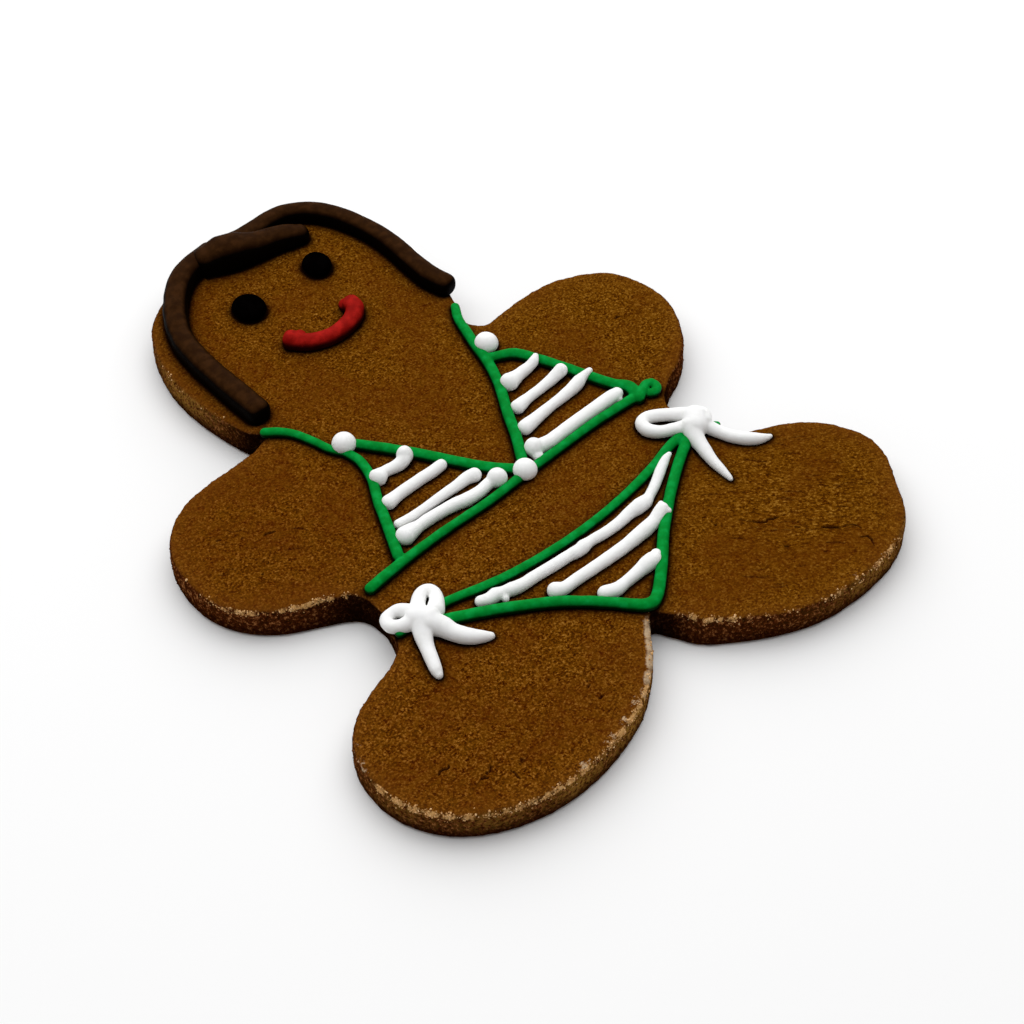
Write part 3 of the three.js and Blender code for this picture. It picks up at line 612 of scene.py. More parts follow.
def crumbs(name, dough, field, low, high, count, sizes, seed):
    """Small knobbly bodies sunk in the dough's skin, each its own size, turn and squash."""
    rng = np.random.default_rng(seed)
    mesh = dough.data
    v = vectors(mesh.vertices, "co") / MM
    normal = vectors(mesh.vertices, "normal")
    amount = np.maximum(stored(mesh, field), 0.0).astype(float) ** CRUMB_GATHER
    amount *= 1 - CRUMB_SHY * np.clip(stored(mesh, "painted_nook_shade"), 0, 1)
    amount[(v[:, 2] < low) | (v[:, 2] > high)] = 0.0
    mesh.calc_loop_triangles()
    corner = np.empty(len(mesh.loop_triangles) * 3, np.int32)
    mesh.loop_triangles.foreach_get("vertices", corner)
    corner = corner.reshape(-1, 3)
    a, b, c = (v[corner[:, k]] for k in range(3))
    weight = np.linalg.norm(np.cross(b - a, c - a), axis=1) * amount[corner].mean(1)
    chosen = corner[rng.choice(len(corner), count, p=weight / weight.sum())]
    share = rng.dirichlet((1, 1, 1), count)[:, :, None]
    places = (v[chosen] * share).sum(1)
    outward = (normal[chosen] * share).sum(1)
    knob = bmesh.new()
    bmesh.ops.create_icosphere(knob, subdivisions=1, radius=1.0)
    body = np.array([vert.co[:] for vert in knob.verts])
    sides = [[vert.index for vert in face.verts] for face in knob.faces]
    knob.free()
    verts, faces = [], []
    for k in range(count):
        size = rng.uniform(*sizes) * rng.uniform(0.7, 1.0)
        squash = rng.uniform(*CRUMB_SQUASH, 3) * size / 2
        turn, _ = np.linalg.qr(rng.normal(size=(3, 3)))
        shape = body * (1 + rng.uniform(-CRUMB_KNOBS, CRUMB_KNOBS, len(body)))[:, None]
        middle = places[k] + outward[k] * size * rng.uniform(-CRUMB_SUNK, 0.0)
        verts.append(middle + (shape * squash) @ turn)
        faces += [tuple(k * len(body) + i for i in face) for face in sides]
    v = np.vstack(verts)
    v[:, 2] = np.maximum(v[:, 2], FLOOR_GAP)
    return new_object(name, v * MM, faces)


# ---- the icing: its tables ----

# A line of icing: its route, its radius and its lift off the dough, the two given once or for each
# point of the route.
TOP_CORDS = [
    ([(-22.1, 20.8), (-20.4, 19.5), (-18.7, 17.5), (-17.2, 13.8), (-16.2, 10.7), (-14.8, 8.6)], [0.8, 0.8,
      0.7, 0.7, 0.7, 0.75], 0),
    ([(-14.8, 8.6), (-14.3, 5.4), (-15.2, 1.3), (-17.4, -3.3), (-19.5, -8.4), (-22.2, -14.6)], [0.75, 0.8,
      0.8, 0.85, 0.9, 0.9], 0),
    ([(-12.9, 9.4), (-10.2, 5.9), (-6.1, 0.3), (-2.7, -4.9), (0.2, -9.1), (3.7, -12.8)], [0.85] + [0.9] * 5,
      0),
    ([(-29.5, -16.9), (-26.1, -16.4), (-21.4, -15.8), (-13.3, -15.2), (-4, -15), (4.4, -14.2),
      (12.4, -13.6), (20.6, -13.1), (28.9, -13.2)], [0.9, 0.9, 0.8, 0.75, 0.75, 0.8, 0.75, 0.8, 0.85], 0),
    ([(20.1, 23.3), (18.7, 20.8), (17.7, 17.4), (16.6, 13.3), (15.7, 9.2), (13.7, 3.9), (10.6, -2),
      (8.1, -7.2), (5, -12.6)], [0.75, 0.8, 0.85, 0.9, 0.9, 0.88, 0.9, 0.9, 0.9], 0),
    ([(16.5, 9.8), (20.2, 7.9), (22, 5.1), (23.9, 1.1), (26.2, -4.5), (28, -8.6), (29.4, -10.8),
      (29.3, -12.4), (29, -13.7)], [0.85, 0.9, 0.9, 0.88, 0.88, 0.92, 1.05, 1.1, 1], 0),
    ([(29.1, -13.6), (30.4, -13.1), (31.8, -12.4), (32.8, -12.7)], [1, 0.88, 0.8, 0.78], [0, 0.2, 0.3,
      0.3]),
    ([(32.8, -12.7), (33, -13.4), (32.7, -14.1), (32, -14.4), (31.2, -14)], [0.78, 0.78, 0.78, 0.78, 0.7],
      [0.3, 0.2, 0.2, 0.1, 0]),
]
BOTTOM_CORDS = [
    ([(-31.4, -26.6), (-27, -26.4), (-22.4, -26.6), (-17, -27.8), (-11.5, -28.8), (-3, -29.4), (5, -29.2),
      (12.5, -28.3), (19.9, -26.8), (26.9, -24.9), (32, -25.1), (34.7, -26.5)], [0.8, 0.8, 0.75, 0.72, 0.72,
      0.7, 0.7, 0.7, 0.78, 0.85, 0.75, 0.55], 0),
    ([(-27, -28.2), (-21.1, -31.1), (-15.8, -34), (-9.1, -38.3), (-4, -42.9), (-1.3, -45.9), (0.1, -47.2),
      (1.3, -47.6), (2.6, -47.1), (6.6, -43.7), (12.7, -37.7), (19.6, -32), (24.5, -28.5), (28.5, -26)],
      [0.9, 0.92, 0.92, 0.92, 0.9, 0.95, 1, 1, 0.95, 0.92, 0.92, 0.88, 0.88, 0.9], 0),
]
STRIPES = {
    "right_cup_stripe_1": ([(-14.4, 0.5), (-12.8, 1), (-11.4, 0.8), (-10.1, 0.6), (-9, 0.7), (-8.1, 1.4)],
      [1.45, 0.88, 0.93, 1.03, 1.15, 1.1], [0, 0, 0, 0.1, 0.4, 0.6]),
    "right_cup_stripe_2": ([(-16.4, -4.8), (-14.2, -4.4), (-11.6, -4.2), (-9.1, -4.1), (-6.9, -4.1),
      (-5, -4)], [1.16, 0.96, 0.91, 0.94, 0.95, 0.9], [0] * 5 + [0.2]),
    "right_cup_stripe_3": ([(-18, -9.2), (-15.8, -9.4), (-12.7, -9.3), (-9.4, -9.1), (-5.7, -9),
      (-3.6, -8.9), (-2.4, -9.2)], [0.7, 0.72, 0.71, 0.77, 0.88, 1, 1.13], 0),
    "right_cup_stripe_4": ([(-18.9, -12.2), (-15.9, -11.8), (-13.7, -11.7), (-10.9, -11.8), (-8.4, -12.1),
      (-6.6, -12.5), (-4.1, -12.5), (-1.6, -12.1), (0.2, -12.1)], [1.52, 0.95, 0.96, 0.94, 1.04, 1.08, 0.97,
      0.97, 1.2], 0),
    "left_cup_stripe_1": ([(15.3, 3), (17.7, 3.5), (19.8, 3.7), (21.1, 3.8), (22.1, 4.4)], [1.43, 1, 0.88,
      0.86, 0.5], [0, 0, 0.1, 0.6, 1.1]),
    "left_cup_stripe_2": ([(12.6, -2.2), (15.4, -1.6), (18.2, -1.3), (21, -1), (23.1, -0.9)], [1.18, 0.83,
      0.82, 0.94, 1.11], [0, 0, 0, 0.1, 0.7]),
    "left_cup_stripe_3": ([(10.5, -6.6), (13.8, -6), (16.7, -5.5), (19.6, -5.2), (22.4, -4.8), (23.9, -4.5),
      (25, -4.3), (26.6, -4.2)], [1.23, 0.98, 0.85, 0.86, 1.03, 1.09, 0.8, 0.48], [0] * 5 + [0.1, 0.6,
      1.2]),
    "left_cup_stripe_4": ([(8.4, -11.1), (11.4, -11.6), (13.9, -11.4), (19.2, -11), (24, -10.8),
      (26.3, -10.7), (27, -10.6)], [1.3, 1.12, 1.1, 1.1, 1.18, 1.12, 1], 0),
    "bottom_stripe_1": ([(-18.3, -30), (-17, -30.6), (-15.7, -30.6), (-14.5, -30.7), (-13.4, -31.3),
      (-11.5, -31.7), (-9.1, -31.7), (-5, -31.9), (-2, -32), (-0.3, -32.2), (0.8, -32.1), (2.3, -31.9),
      (5.3, -32.1), (8.2, -32), (11.1, -31.6), (12.9, -31.6), (14.4, -31.5), (15.6, -31), (18, -29.8),
      (20.3, -28.4), (22.6, -27.2), (23.7, -26.9)], [0.86, 1.02, 1.08, 0.77, 1.06, 0.98, 0.9, 0.9, 0.89,
      0.97, 1.1, 0.8, 0.85, 0.85, 0.99, 1.18, 1.11, 0.8, 0.81, 0.87, 0.65, 0.38], [0] * 18 + [0.1, 0.3, 0.8,
      1.2]),
    "bottom_stripe_2": ([(-8.4, -36.1), (-7, -36.5), (-4.7, -36.4), (0, -36.4), (5.6, -36.3), (10.2, -35.9),
      (12.7, -35.5), (14.3, -35), (14.9, -34.8)], [1.28, 1.01, 0.92, 0.94, 1, 1.16, 1.06, 1.1, 1], [0] * 6 +
      [0.1, 0.5, 0.8]),
    "bottom_stripe_3": ([(-3, -41.4), (-1.2, -42), (0.8, -41.8), (3.3, -41.6), (5.7, -41.4), (7.1, -41.4),
      (8.1, -40.9)], [1.14, 1.08, 0.88, 0.98, 1.25, 1.27, 0.85], [0] * 5 + [0.2, 0.4]),
}
# Drips and forked ends where the nozzle lifted.
DRIPS = {
    "left_cup_stripe_4": [
        ([(8.3, -11.8), (8.1, -12.9)], [1, 0.8], 0),
        ([(26.7, -10.8), (26.5, -11.6)], 0.62, 0),
    ],
    "bottom_stripe_1": [([(-14.4, -31.2), (-15, -32)], [0.6, 0.55], 0)],
    "bottom_stripe_2": [
        ([(14.4, -35), (15.5, -33.9)], [0.9, 0.5], [0.5, 1]),
        ([(14.4, -35), (15.4, -35.7)], [0.9, 0.5], [0.5, 1]),
    ],
}
# Round dollops at the end of a stripe: place, widths across and along, height.
DOLLOPS = {
    "right_cup_stripe_1": ((-8.3, 1.3), (2.7, 2.7), 2.9),
    "right_cup_stripe_4": ((-0.2, -12.3), (3.3, 3.3), 2.7),
    "left_cup_stripe_1": ((15.1, 2.9), (3.1, 3.1), 2.6),
    "left_cup_stripe_4": ((8.55, -11.1), (3.1, 3.2), 2.7),
}
BEADS = {
    "right_shoulder_bead": ((-14.1, 9.9), (4.0, 4.0), 2.9),
    "left_shoulder_bead": ((18.1, 12.5), (4.0, 4.1), 2.9),
    "middle_bead": ((4.3, -13.9), (3.9, 4.0), 2.8),
}
# Each bow is a knot, two loops and two tails.
BOWS = {
    "right_bow": [
        ([(-28, -26.9), (-27.1, -28.2)], 2.05, 0.2),
        ([(-27.5, -26.2), (-25.7, -24), (-24.15, -22.95), (-23.05, -23.05), (-22.75, -24.05),
         (-23.4, -25.6), (-25, -27.4)], [1.25, 1.08, 0.97, 0.95, 0.98, 1.08, 1.4], [0.8, 0.4, 0.2, 0.1,
         0.2, 0.4, 0.6]),
        ([(-27.8, -25.6), (-29.1, -23.5), (-30.35, -23.1), (-31.6, -23.45), (-31.85, -25), (-30.9, -26.15),
         (-29.2, -26.9)], [1.2, 1, 0.88, 0.94, 1.03, 1.02, 1.3], [0.7, 0.4, 0.2, 0.1, 0.2, 0.5, 0.7]),
        ([(-28.4, -28.4), (-29.3, -29.75), (-30.2, -31.75), (-31.15, -34.2), (-31.8, -36), (-32, -36.8)],
         [1.7, 1.4, 1.1, 1.02, 0.88, 0.6], [0.4, 0.2, 0, 0, 0, 0]),
        ([(-27.2, -28.8), (-26.1, -30.5), (-25.5, -32.1), (-24.6, -33.65), (-23.5, -34.8), (-22.3, -35.6),
         (-21.3, -36.15)], [1.85, 1.55, 1.32, 1.3, 1.14, 0.88, 0.58], [0.4, 0.2, 0.1, 0, 0, 0, 0]),
    ],
    "left_bow": [
        ([(32.2, -23.8), (31, -25.2)], 2, 0.3),
        ([(32, -22.6), (30.2, -20.5), (28.05, -18.75), (26.55, -18.05), (25.35, -18.5), (25.05, -20.1),
         (26.2, -21.9), (28.3, -23.2), (30.2, -24.4)], [1.2, 1.02, 1, 1, 1.05, 1.04, 0.98, 0.98, 1.2],
         [0.8, 0.5, 0.3, 0.1, 0.1, 0.1, 0.3, 0.5, 0.7]),
        ([(31.7, -23.4), (32.7, -22.7), (33.8, -23.1), (33.9, -24.1), (32.8, -25.1)], [1.4, 1.2, 1.05, 1.1,
         1.45], [0.7, 0.6, 0.5, 0.6, 0.6]),
        ([(32.5, -25.3), (33, -26.8), (33.7, -28.5), (34.6, -30.3), (35.7, -31.8), (37.1, -33.1),
         (38.6, -33.8), (39.5, -34)], [1.25, 1.05, 0.95, 0.98, 1.03, 0.95, 0.6, 0.36], [0.5, 0.3, 0.1] +
         [0] * 5),
        ([(30.4, -25), (29.55, -27), (29.1, -29.15), (28.55, -31.9), (28.35, -34.3), (28.25, -35.9),
         (28.2, -36.6)], [1.8, 1.35, 1.08, 0.88, 0.66, 0.5, 0.34], [0.5, 0.3, 0.1, 0, 0, 0, 0]),
    ],
}
HAIR = {
    "hair_right": ([(-4.6, 61.6), (-9.3, 60.4), (-13, 58.2), (-17.8, 52.4), (-20.25, 46.7), (-21, 40.9),
      (-21, 34.6), (-20.8, 28.8), (-20.6, 25.3)], [2, 2.15, 2.15, 2.05, 2.02, 2.05, 2.1, 2.15, 2.15], 0),
    "hair_left": ([(-0.2, 61.2), (3.1, 61), (6.5, 61.35), (11.1, 61.5), (15.05, 59.5), (18, 55.7),
      (19.8, 51.2), (20.9, 46.4), (21.2, 41.5), (21, 36), (21.05, 31.6), (21.75, 28.6)], [1.9, 1.9, 1.85] +
      [1.8] * 5 + [1.85, 1.9, 1.95, 1.9], 0),
    "hair_fringe": ([(-5.8, 60), (-3.4, 59.4), (-0.2, 58.35), (3.2, 57.35), (6.6, 56.75), (9.2, 55.9),
      (10.7, 55.35)], [2.6, 3.15, 3.1, 2.5, 2.25, 2.1, 1.8], 0),
}
MOUTH = ([(-6, 34.75), (-4.6, 33.05), (-2.5, 31.85), (-0.15, 31.3), (2.45, 31.5), (5.1, 32.45),
  (6.65, 33.95), (6.75, 34.9)], [1.6, 1.45, 1.4, 1.38, 1.42, 1.52, 1.6, 1.6], 0)
MOUTH_ENDS = [
    ([(6.7, 35), (6.05, 36)], [1.2, 1.1], 0.1),
    ([(-5.4, 34.9), (-4.5, 34.75)], 1.2, 0.1),
]
# Place, widths across and along, height, and turn in degrees.
EYES = {
    "right_eye": ((-6.75, 46.35), (5.7, 6.4), 2.45, 0),
    "left_eye": ((8.6, 47.4), (5.0, 5.8), 2.4, -12),
}

# ---- the icing: its shape ----

SINK = 0.25  # how far icing goes into the dough, so that no gap shows
FOOT = 0.65  # height of a line's axis above the dough, in radii
LINE_STEP = 0.3  # spacing of a line's rings, in radii
CAP_REACHES = (0.98, 0.92, 0.8, 0.62, 0.4, 0.2)  # where the rings of a line's end lie, in radii
WOBBLE, WOBBLE_SIZE = 0.03, 2.6  # how far a line's radius wanders, over how many mm
RIPPLE, RIPPLE_SIZE = 0.03, 1.8  # and how far the skin does
BLOB_RINGS, BLOB_SIDES = 13, 24
BLOB_WAIST = 0.35  # height of a dollop's widest place, in heights
LIFTED = 0.6  # icing lifted this far leaves no mark beside it


def along_route(values, where, count):
    """One value, or one for each point of a route, read along it."""
    if np.isscalar(values):
        return np.full(len(where), float(values))
    return np.interp(where, np.linspace(0, count - 1, len(values)), values)


def line(route, radius, lift=0.0, sides=20, square=2.2, blunt=2.0):
    """A squeezed line of icing as a closed tube. square and blunt are superellipse powers, for its
    section and its ends; 2 is round."""
    dense, where = spline(route, fine=24)
    radii = along_route(radius, where, len(route))
    path, at, run = evenly(dense, LINE_STEP * float(np.mean(radii)))
    r = np.interp(at, run, radii)
    foot = TOP + np.interp(at, run, along_route(lift, where, len(route)))
    wave = lumps(np.column_stack([path, np.zeros(len(path))]), WOBBLE_SIZE, 2)
    r = r * (1 + WOBBLE * wave)
    ahead = np.gradient(path, axis=0)
    ahead /= np.linalg.norm(ahead, axis=1)[:, None]
    caps = [(reach, (1 - reach ** blunt) ** (1 / blunt)) for reach in CAP_REACHES]
    rings = [(0, -reach, shrink) for reach, shrink in caps]
    rings += [(i, 0.0, 1.0) for i in range(len(path))]
    rings += [(-1, reach, shrink) for reach, shrink in reversed(caps)]
    turn = np.linspace(0, 2 * math.pi, sides, endpoint=False)
    wide = np.sign(np.cos(turn)) * np.abs(np.cos(turn)) ** (2 / square)
    tall = np.sign(np.sin(turn)) * np.abs(np.sin(turn)) ** (2 / square)
    verts = []
    for i, reach, shrink in rings:
        size = r[i] * shrink
        across = np.array([-ahead[i][1], ahead[i][0]])
        centre = path[i] + ahead[i] * reach * r[i]
        flat = centre[None, :] + wide[:, None] * size * across[None, :]
        up = np.maximum(foot[i] + FOOT * r[i] + tall * size, foot[i] - SINK)
        verts.append(np.column_stack([flat + SHIFT, up]))
    return np.vstack(verts), skin(len(rings), sides)


def blob(at, size, height, turn=0.0):
    """A round dollop: widths across and along, and its height above the dough."""
    verts = []
    c, s = math.cos(math.radians(turn)), math.sin(math.radians(turn))
    middle = TOP + height * BLOB_WAIST
    for row in range(1, BLOB_RINGS + 1):
        lat = -math.pi / 2 + math.pi * row / (BLOB_RINGS + 1)
        for k in range(BLOB_SIDES):
            lon = 2 * math.pi * k / BLOB_SIDES
            x = math.cos(lat) * math.cos(lon) * size[0] / 2
            y = math.cos(lat) * math.sin(lon) * size[1] / 2
            up = math.sin(lat)
            z = middle + up * (height * (1 - BLOB_WAIST) if up > 0 else height * BLOB_WAIST + SINK)
            verts.append((at[0] + c * x - s * y + SHIFT[0], at[1] + s * x + c * y + SHIFT[1], z))
    return np.array(verts), skin(BLOB_RINGS, BLOB_SIDES)


def icing(name, parts, voxel=0.16, rounds=6, swell=0.06):
    """Fuses lines and blobs into one piece, faintly uneven. Swell makes up what smoothing takes off."""
    verts, faces, base = [], [], 0
    for v, f in parts:
        verts.append(v)
        faces += [tuple(base + i for i in face) for face in f]
        base += len(v)
    piece = new_object(name, np.vstack(verts) * MM, faces)
    fuse(piece, voxel, rounds)
    mesh = piece.data
    v = vectors(mesh.vertices, "co") / MM
    wave = lumps(v, RIPPLE_SIZE, 2, len(name) * 0.37)
    v += vectors(mesh.vertices, "normal") * (swell + RIPPLE * wave)[:, None]
    v[:, 2] = np.maximum(v[:, 2], TOP - SINK)
    set_vertices(mesh, v * MM)
    # how far the skin leans from level, read by the finish for painted shade on the flanks
    store(mesh, "painted_flank_shade", 1 - vectors(mesh.vertices, "normal")[:, 2])
    return piece


def icing_lines():
    """Every line of icing, a dot standing in as a short fat line."""
    lines = [*TOP_CORDS, *BOTTOM_CORDS, *STRIPES.values(), *HAIR.values(), MOUTH]
    lines += [part for bow in BOWS.values() for part in bow]
    for (x, y), (across, length), *_ in [*EYES.values(), *BEADS.values()]:
        half = max(length - across, 0.2) / 2
        lines.append(([(x, y - half), (x, y + half)], across / 2, 0))
    return lines


def icing_distance():
    """A function that says how far flat points lie outside the nearest icing's foot."""
    centres, sizes = [], []
    for route, radius, lift in icing_lines():
        dense, where = spline(route, fine=16)
        path, at, run = evenly(dense, 0.3)
        radii = np.interp(at, run, along_route(radius, where, len(route)))
        low = np.interp(at, run, along_route(lift, where, len(route))) < LIFTED
        centres.append(path[low])
        sizes.append(radii[low])
    centres, sizes = np.vstack(centres), np.concatenate(sizes)

    def away(points):
        index, distance = nearest(centres, points)
        return distance - sizes[index]

    return away


# ---- the pieces ----

made = []


def keep(piece, node, finish):
    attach(piece, "root")
    if node:
        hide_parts(node)
    made.append((piece, finish))
    return piece


def keep_icing(node, colour, parts, name=None, **how):
    keep(icing(name or node + "_icing", parts, **how), node, colour)


dough = keep(make_dough(), "dough", "dough")
for name, (*how, finish) in CRUMBS.items():
    keep(crumbs(name, dough, *how), None, finish)
for node, strand in HAIR.items():
    blunt = 2.2 if node == "hair_fringe" else 3.2
    keep_icing(node, "brown", [line(*strand, sides=28, square=2.5, blunt=blunt)], voxel=0.2)
keep_icing("mouth", "red", [line(*MOUTH, square=2.5, blunt=3.2), *(line(*end) for end in MOUTH_ENDS)])
for node, eye in EYES.items():
    keep_icing(node, "black", [blob(*eye)])
for node, cords in (("top_cords", TOP_CORDS), ("bottom_cords", BOTTOM_CORDS)):
    keep_icing(node, "green", [line(*cord) for cord in cords], "swimsuit_" + node, voxel=0.15, rounds=8)
for node, bead in BEADS.items():
    keep_icing(node, "white", [blob(*bead)])
for node, stripe in STRIPES.items():
    drips = [line(*drip) for drip in DRIPS.get(node, [])]
    if node in DOLLOPS:
        drips.append(blob(*DOLLOPS[node]))
    keep_icing(node, "white", [line(*stripe), *drips])
for node, bow in BOWS.items():
    keep_icing(node, "white", [line(*part) for part in bow], voxel=0.15, rounds=14, swell=0.08)

# ---- materials ----


class Nodes:
    """A short way to write a material's nodes. Patterns are read in mm."""

    def __init__(self, name):
        self.material = bpy.data.materials.new(name)
        self.material.use_nodes = True
        self.tree = self.material.node_tree
        self.shader = self.tree.nodes["Principled BSDF"]
        self.mm = self.node("Mapping", {"Scale": (1000, 1000, 1000)},
                            Vector=self.node("TexCoord").outputs["Object"]).outputs["Vector"]

    def node(self, kind, settings=None, **sources):
        """A node with some of its sockets set, and others linked by name."""
        node = self.tree.nodes.new("ShaderNode" + kind)
        for name, value in (settings or {}).items():
            node.inputs[name].default_value = value
        for name, source in sources.items():
            self.tree.links.new(source, node.inputs[name])
        return node

    def fill(self, sockets, values):
        """Sets each socket to a number or a colour, or links it to another node's."""
        for socket, value in zip(sockets, values):
            if isinstance(value, (int, float)):
                socket.default_value = value
            elif isinstance(value, tuple):
                socket.default_value = (*value, 1)
            else:
                self.tree.links.new(value, socket)

    def finish(self, colour, **settings):
        """Sets the shader's colour and constant sockets, their names written with _ for spaces."""
        self.fill([self.shader.inputs["Base Color"]], [colour])
        for name, value in settings.items():
            self.shader.inputs[name.replace("_", " ")].default_value = value

    def pulled(self, angle, stretch):
        """Coordinates whose patterns come out stretched one way."""
        node = self.node("Mapping", Vector=self.mm)
        node.vector_type = "TEXTURE"
        node.inputs["Rotation"].default_value = (0, 0, angle)
        node.inputs["Scale"].default_value = (stretch, 1, 1)
        return node.outputs["Vector"]

    def noise(self, scale, detail, rough, where=None):
        settings = {"Scale": scale, "Detail": detail, "Roughness": rough}
        return self.node("TexNoise", settings, Vector=where or self.mm).outputs["Fac"]

    def ramp(self, fac, stops):
        node = self.node("ValToRGB", Fac=fac)
        ramp = node.color_ramp
        while len(ramp.elements) < len(stops):
            ramp.elements.new(0.5)
        for element, (place, colour) in zip(ramp.elements, stops):
            element.position = place
            element.color = (*colour, 1)
        return node.outputs["Color"]

    def along(self, axis):
        return self.node("SeparateXYZ", Vector=self.mm).outputs[axis]

    def attribute(self, name):
        node = self.node("Attribute")
        node.attribute_name = name
        return node.outputs["Fac"]

    def span(self, value, low, high, out_low=0.0, out_high=1.0):
        settings = {"From Min": low, "From Max": high, "To Min": out_low, "To Max": out_high}
        return self.node("MapRange", settings, Value=value).outputs["Result"]

    def math(self, kind, a, b):
        node = self.node("Math")
        node.operation = kind
        self.fill(node.inputs, (a, b))
        return node.outputs["Value"]

    def times(self, a, b):
        return self.math("MULTIPLY", a, b)

    def plus(self, a, b):
        return self.math("ADD", a, b)

    def mix(self, fac, a, b, kind="MIX"):
        node = self.node("Mix")
        node.data_type = "RGBA"
        node.blend_type = kind
        self.fill((node.inputs[0], node.inputs[6], node.inputs[7]), (fac, a, b))
        return node.outputs[2]

    def bump(self, height, distance, **before):
        return self.node("Bump", {"Distance": distance * MM}, Height=height, **before).outputs["Normal"]


def rgb(r, g, b):
    """A display colour, 0 to 255, as linear light."""
    return tuple((c / 255 / 12.92) if c / 255 <= 0.04045 else ((c / 255 + 0.055) / 1.055) ** 2.4
                 for c in (r, g, b))


DRY = {"Roughness": 1.0, "Specular_IOR_Level": 0.0}
REDDER = (25.0, -35.0)  # the dough is baked redder towards its right, between these two places along X
COARSER = (10.0, -35.0)  # and its grain shows more towards its feet, between these two places along Y


def gingerbread():
    n = Nodes("gingerbread")
    along = n.pulled(WRINKLE_ALONG, 1.6)
    pulled = n.times(n.attribute("pulled"), 0.8)
    grain = n.mix(pulled, n.noise(2.9, 3.0, 0.6), n.noise(2.9, 3.0, 0.65, along))
    contrast = n.plus(n.span(n.along("Y"), *COARSER, 1.0, 1.2), n.times(pulled, 0.3))
    grain = n.plus(n.times(n.math("SUBTRACT", grain, 0.5), contrast), 0.5)
    colour = n.ramp(grain, [
        (0.30, rgb(36, 7, 1)), (0.42, rgb(68, 30, 0)), (0.50, rgb(97, 54, 3)),
        (0.59, rgb(121, 76, 13)), (0.71, rgb(164, 116, 44)),
    ])
    # broad patches, then the redder right, then middling patches
    colour = n.mix(n.span(n.noise(0.11, 2.0, 0.5), 0.42, 0.62, 0.0, 0.45), colour, rgb(86, 38, 4))
    colour = n.mix(n.span(n.along("X"), *REDDER), colour, (0.93, 0.82, 0.9), "MULTIPLY")
    middle = n.mix(pulled, n.noise(0.7, 3.0, 0.6), n.noise(0.9, 3.0, 0.65, along))
    colour = n.mix(n.span(middle, 0.38, 0.62, 0.0, 0.36), colour, rgb(112, 69, 9))
    # the rim, then the crumb of the side, its own darker crumb made darker still as painted shade, dusted
    # in places
    colour = n.mix(n.times(n.attribute("edge"), 0.30), colour, rgb(118, 70, 22))
    crumb = n.ramp(n.noise(1.7, 4.0, 0.75), [
        (0.36, rgb(12, 2, 1)), (0.47, rgb(46, 12, 4)), (0.55, rgb(80, 32, 12)), (0.64, rgb(168, 112, 66)),
    ])
    colour = n.mix(n.times(n.attribute("side"), 0.85), colour, crumb)
    dust = n.times(n.attribute("dust"), n.span(n.noise(1.5, 4.0, 0.75), 0.42, 0.56))
    colour = n.mix(dust, colour, rgb(150, 108, 44))
    # painted shade, darker towards the side's foot
    colour = n.mix(n.times(n.attribute("low"), 0.85), colour, rgb(26, 5, 2))
    # painted shade in the nooks
    colour = n.mix(n.span(n.attribute("painted_nook_shade"), 0.25, 0.85, 0.0, 0.88), colour, rgb(12, 3, 1))
    # the flour: thin on the rim, smeared, and in clumps
    for name, share, pattern, low, high, paint in (
            ("flour", 1.6, (2.2, 3.0, 0.65), 1.28, 1.58, rgb(206, 158, 98)),
            ("smear", 0.9, (1.7, 3.0, 0.65), 0.85, 1.3, rgb(190, 164, 132)),
            ("clumps", 1.8, (1.5, 4.0, 0.7), 1.52, 1.75, rgb(198, 168, 132))):
        broken = n.plus(n.attribute(name), n.times(n.noise(*pattern), share))
        colour = n.mix(n.span(broken, low, high, 0.0, 0.92), colour, paint)
    # painted shade in the cracks, pits and wrinkles, and beside the icing
    colour = n.mix(n.times(n.attribute("crack"), 0.96), colour, rgb(46, 5, 2))
    colour = n.mix(n.times(n.attribute("painted_contact_shade"), 0.98), colour, rgb(10, 2, 1))
    n.finish(colour, **DRY)
    coarse = n.bump(n.noise(2.9, 3.0, 0.6), 0.22)
    both = n.bump(n.noise(1.1, 3.0, 0.6), 0.18, Normal=coarse)
    n.fill([n.shader.inputs["Normal"]], [both])
    return n.material


def crumb_finish(name, dark, base, light):
    """Dry crumb: matt, its colour drifting from one crumb to the next."""
    n = Nodes(name)
    colour = n.ramp(n.noise(1.6, 3.0, 0.6), [(0.36, dark), (0.5, base), (0.64, light)])
    n.finish(colour, **DRY)
    return n.material


def icing_finish(name, dark, base, light, flank_shade, leans, depth, roughness, specular, glow=0.0):
    """Set icing: its colour drifts, darkens with painted shade where its skin leans away from level, and
    its skin is faintly uneven. Glow is how far light passes into it."""
    n = Nodes(name)
    colour = n.ramp(n.noise(0.7, 2.0, 0.5), [(0.35, dark), (0.5, base), (0.66, light)])
    colour = n.mix(n.span(n.attribute("painted_flank_shade"), *leans, 0.0, depth), colour, flank_shade)
    n.finish(colour, Specular_IOR_Level=specular, Subsurface_Weight=glow,
             Subsurface_Radius=(1.0, 1.0, 1.0), Subsurface_Scale=1.2 * MM)
    rough = n.span(n.noise(1.4, 3.0, 0.6), 0.3, 0.7, roughness - 0.06, roughness + 0.08)
    bumps = n.bump(n.noise(1.6, 3.0, 0.55), 0.03)
    n.fill((n.shader.inputs["Roughness"], n.shader.inputs["Normal"]), (rough, bumps))
    return n.material
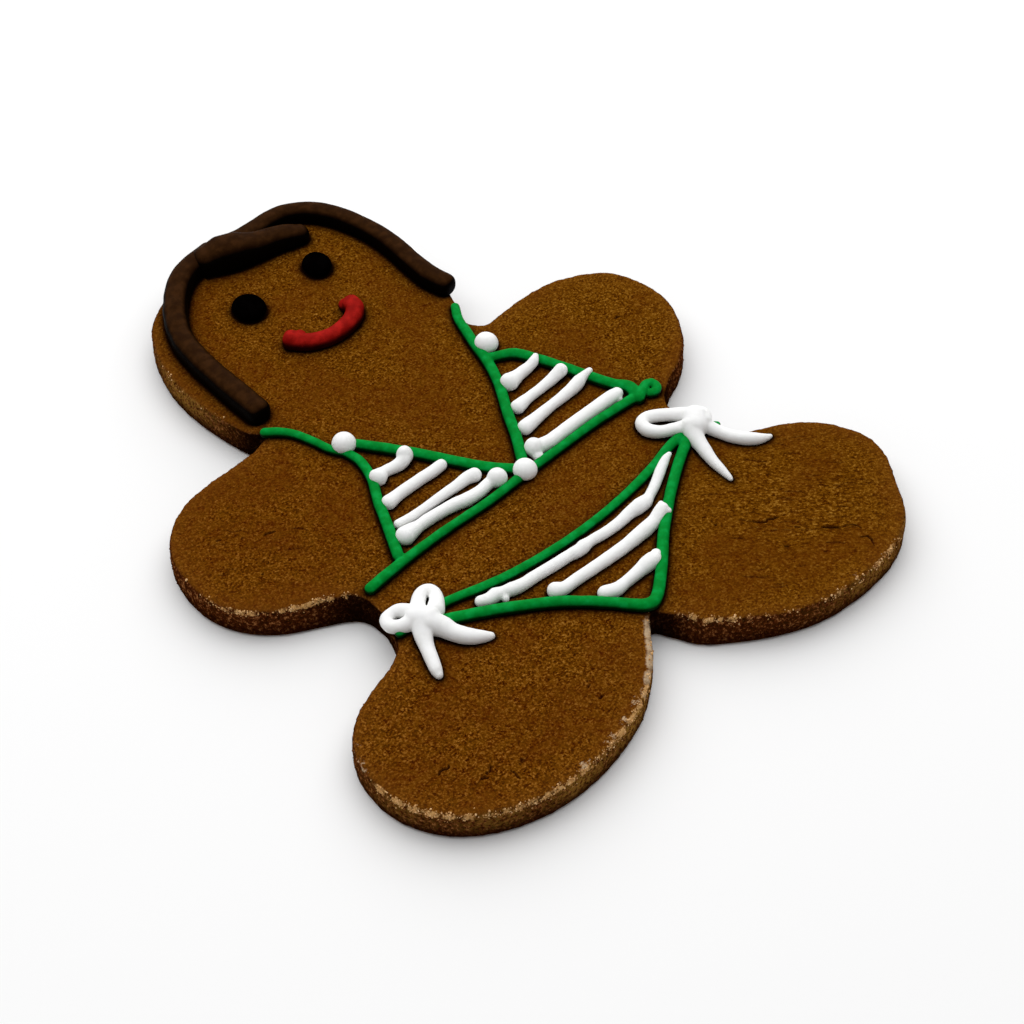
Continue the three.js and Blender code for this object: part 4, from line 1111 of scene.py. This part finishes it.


# Each icing's fifth colour is the painted shade on its leaning flanks.
finishes = {
    "dough": gingerbread(),
    "pale_crumb": crumb_finish("flour_crumb", rgb(158, 108, 58), rgb(206, 156, 98), rgb(236, 196, 144)),
    "crumb": crumb_finish("side_crumb", rgb(34, 9, 3), rgb(66, 30, 10), rgb(112, 72, 34)),
    "brown": icing_finish("brown_icing", rgb(39, 19, 4), rgb(45, 24, 6), rgb(54, 30, 10), rgb(4, 2, 1),
                          leans=(0.12, 0.5), depth=0.98, roughness=0.45, specular=0.008),
    "red": icing_finish("red_icing", rgb(132, 15, 10), rgb(146, 20, 14), rgb(166, 26, 20), rgb(30, 2, 2),
                        leans=(0.5, 0.95), depth=0.95, roughness=0.5, specular=0.015),
    "black": icing_finish("black_icing", rgb(1, 1, 1), rgb(2, 1, 1), rgb(3, 2, 2), rgb(1, 0, 0),
                          leans=(0.2, 0.8), depth=0.8, roughness=0.8, specular=0.0),
    "green": icing_finish("green_icing", rgb(0, 124, 42), rgb(0, 134, 48), rgb(6, 148, 62), rgb(0, 26, 4),
                          leans=(0.5, 0.9), depth=0.95, roughness=0.5, specular=0.02),
    "white": icing_finish("white_icing", rgb(246, 246, 244), rgb(249, 249, 247), rgb(251, 251, 250),
                          rgb(228, 230, 227), leans=(0.6, 1.0), depth=0.32, roughness=0.6,
                          specular=0.08, glow=0.6),
}
for piece, finish in made:
    piece.data.materials.clear()
    piece.data.materials.append(finishes[finish])

# ---- floor and light ----

FLOOR_HALF = 3.0  # metres
FLOOR_HEIGHT = -0.00003  # just under the dough, so that the two faces never fight
# A broad soft box over the figure, in from beyond its left shoulder: metres and watts.
LIGHT_PLACE = Vector((0.225, 0.39, 0.78))
LIGHT_SIZE = 2.14
LIGHT_POWER = 17.5
SKY = 0.28  # strength of the white light from all round


def make_stage():
    corners = [(-1, -1), (1, -1), (1, 1), (-1, 1)]
    verts = [(x * FLOOR_HALF, y * FLOOR_HALF, FLOOR_HEIGHT) for x, y in corners]
    floor = new_object("floor", verts, [(0, 1, 2, 3)], smooth=False)
    n = Nodes("pale_floor")
    n.finish((0.95, 0.95, 0.95), Roughness=0.9, Specular_IOR_Level=0.0)
    floor.data.materials.append(n.material)


def light_stage():
    data = bpy.data.lights.new("soft_box", "AREA")
    data.shape = "DISK"
    data.size = LIGHT_SIZE
    data.energy = LIGHT_POWER
    lamp = bpy.data.objects.new("soft_box", data)
    lamp.location = LIGHT_PLACE
    lamp.rotation_euler = (-LIGHT_PLACE).to_track_quat("-Z", "Y").to_euler()
    bpy.context.scene.collection.objects.link(lamp)
    world = bpy.data.worlds.new("studio")
    world.use_nodes = True
    background = world.node_tree.nodes["Background"]
    background.inputs["Color"].default_value = (1, 1, 1, 1)
    background.inputs["Strength"].default_value = SKY
    bpy.context.scene.world = world
    bpy.context.scene.view_settings.view_transform = "Standard"
    bpy.context.scene.view_settings.look = "None"


make_stage()
light_stage()
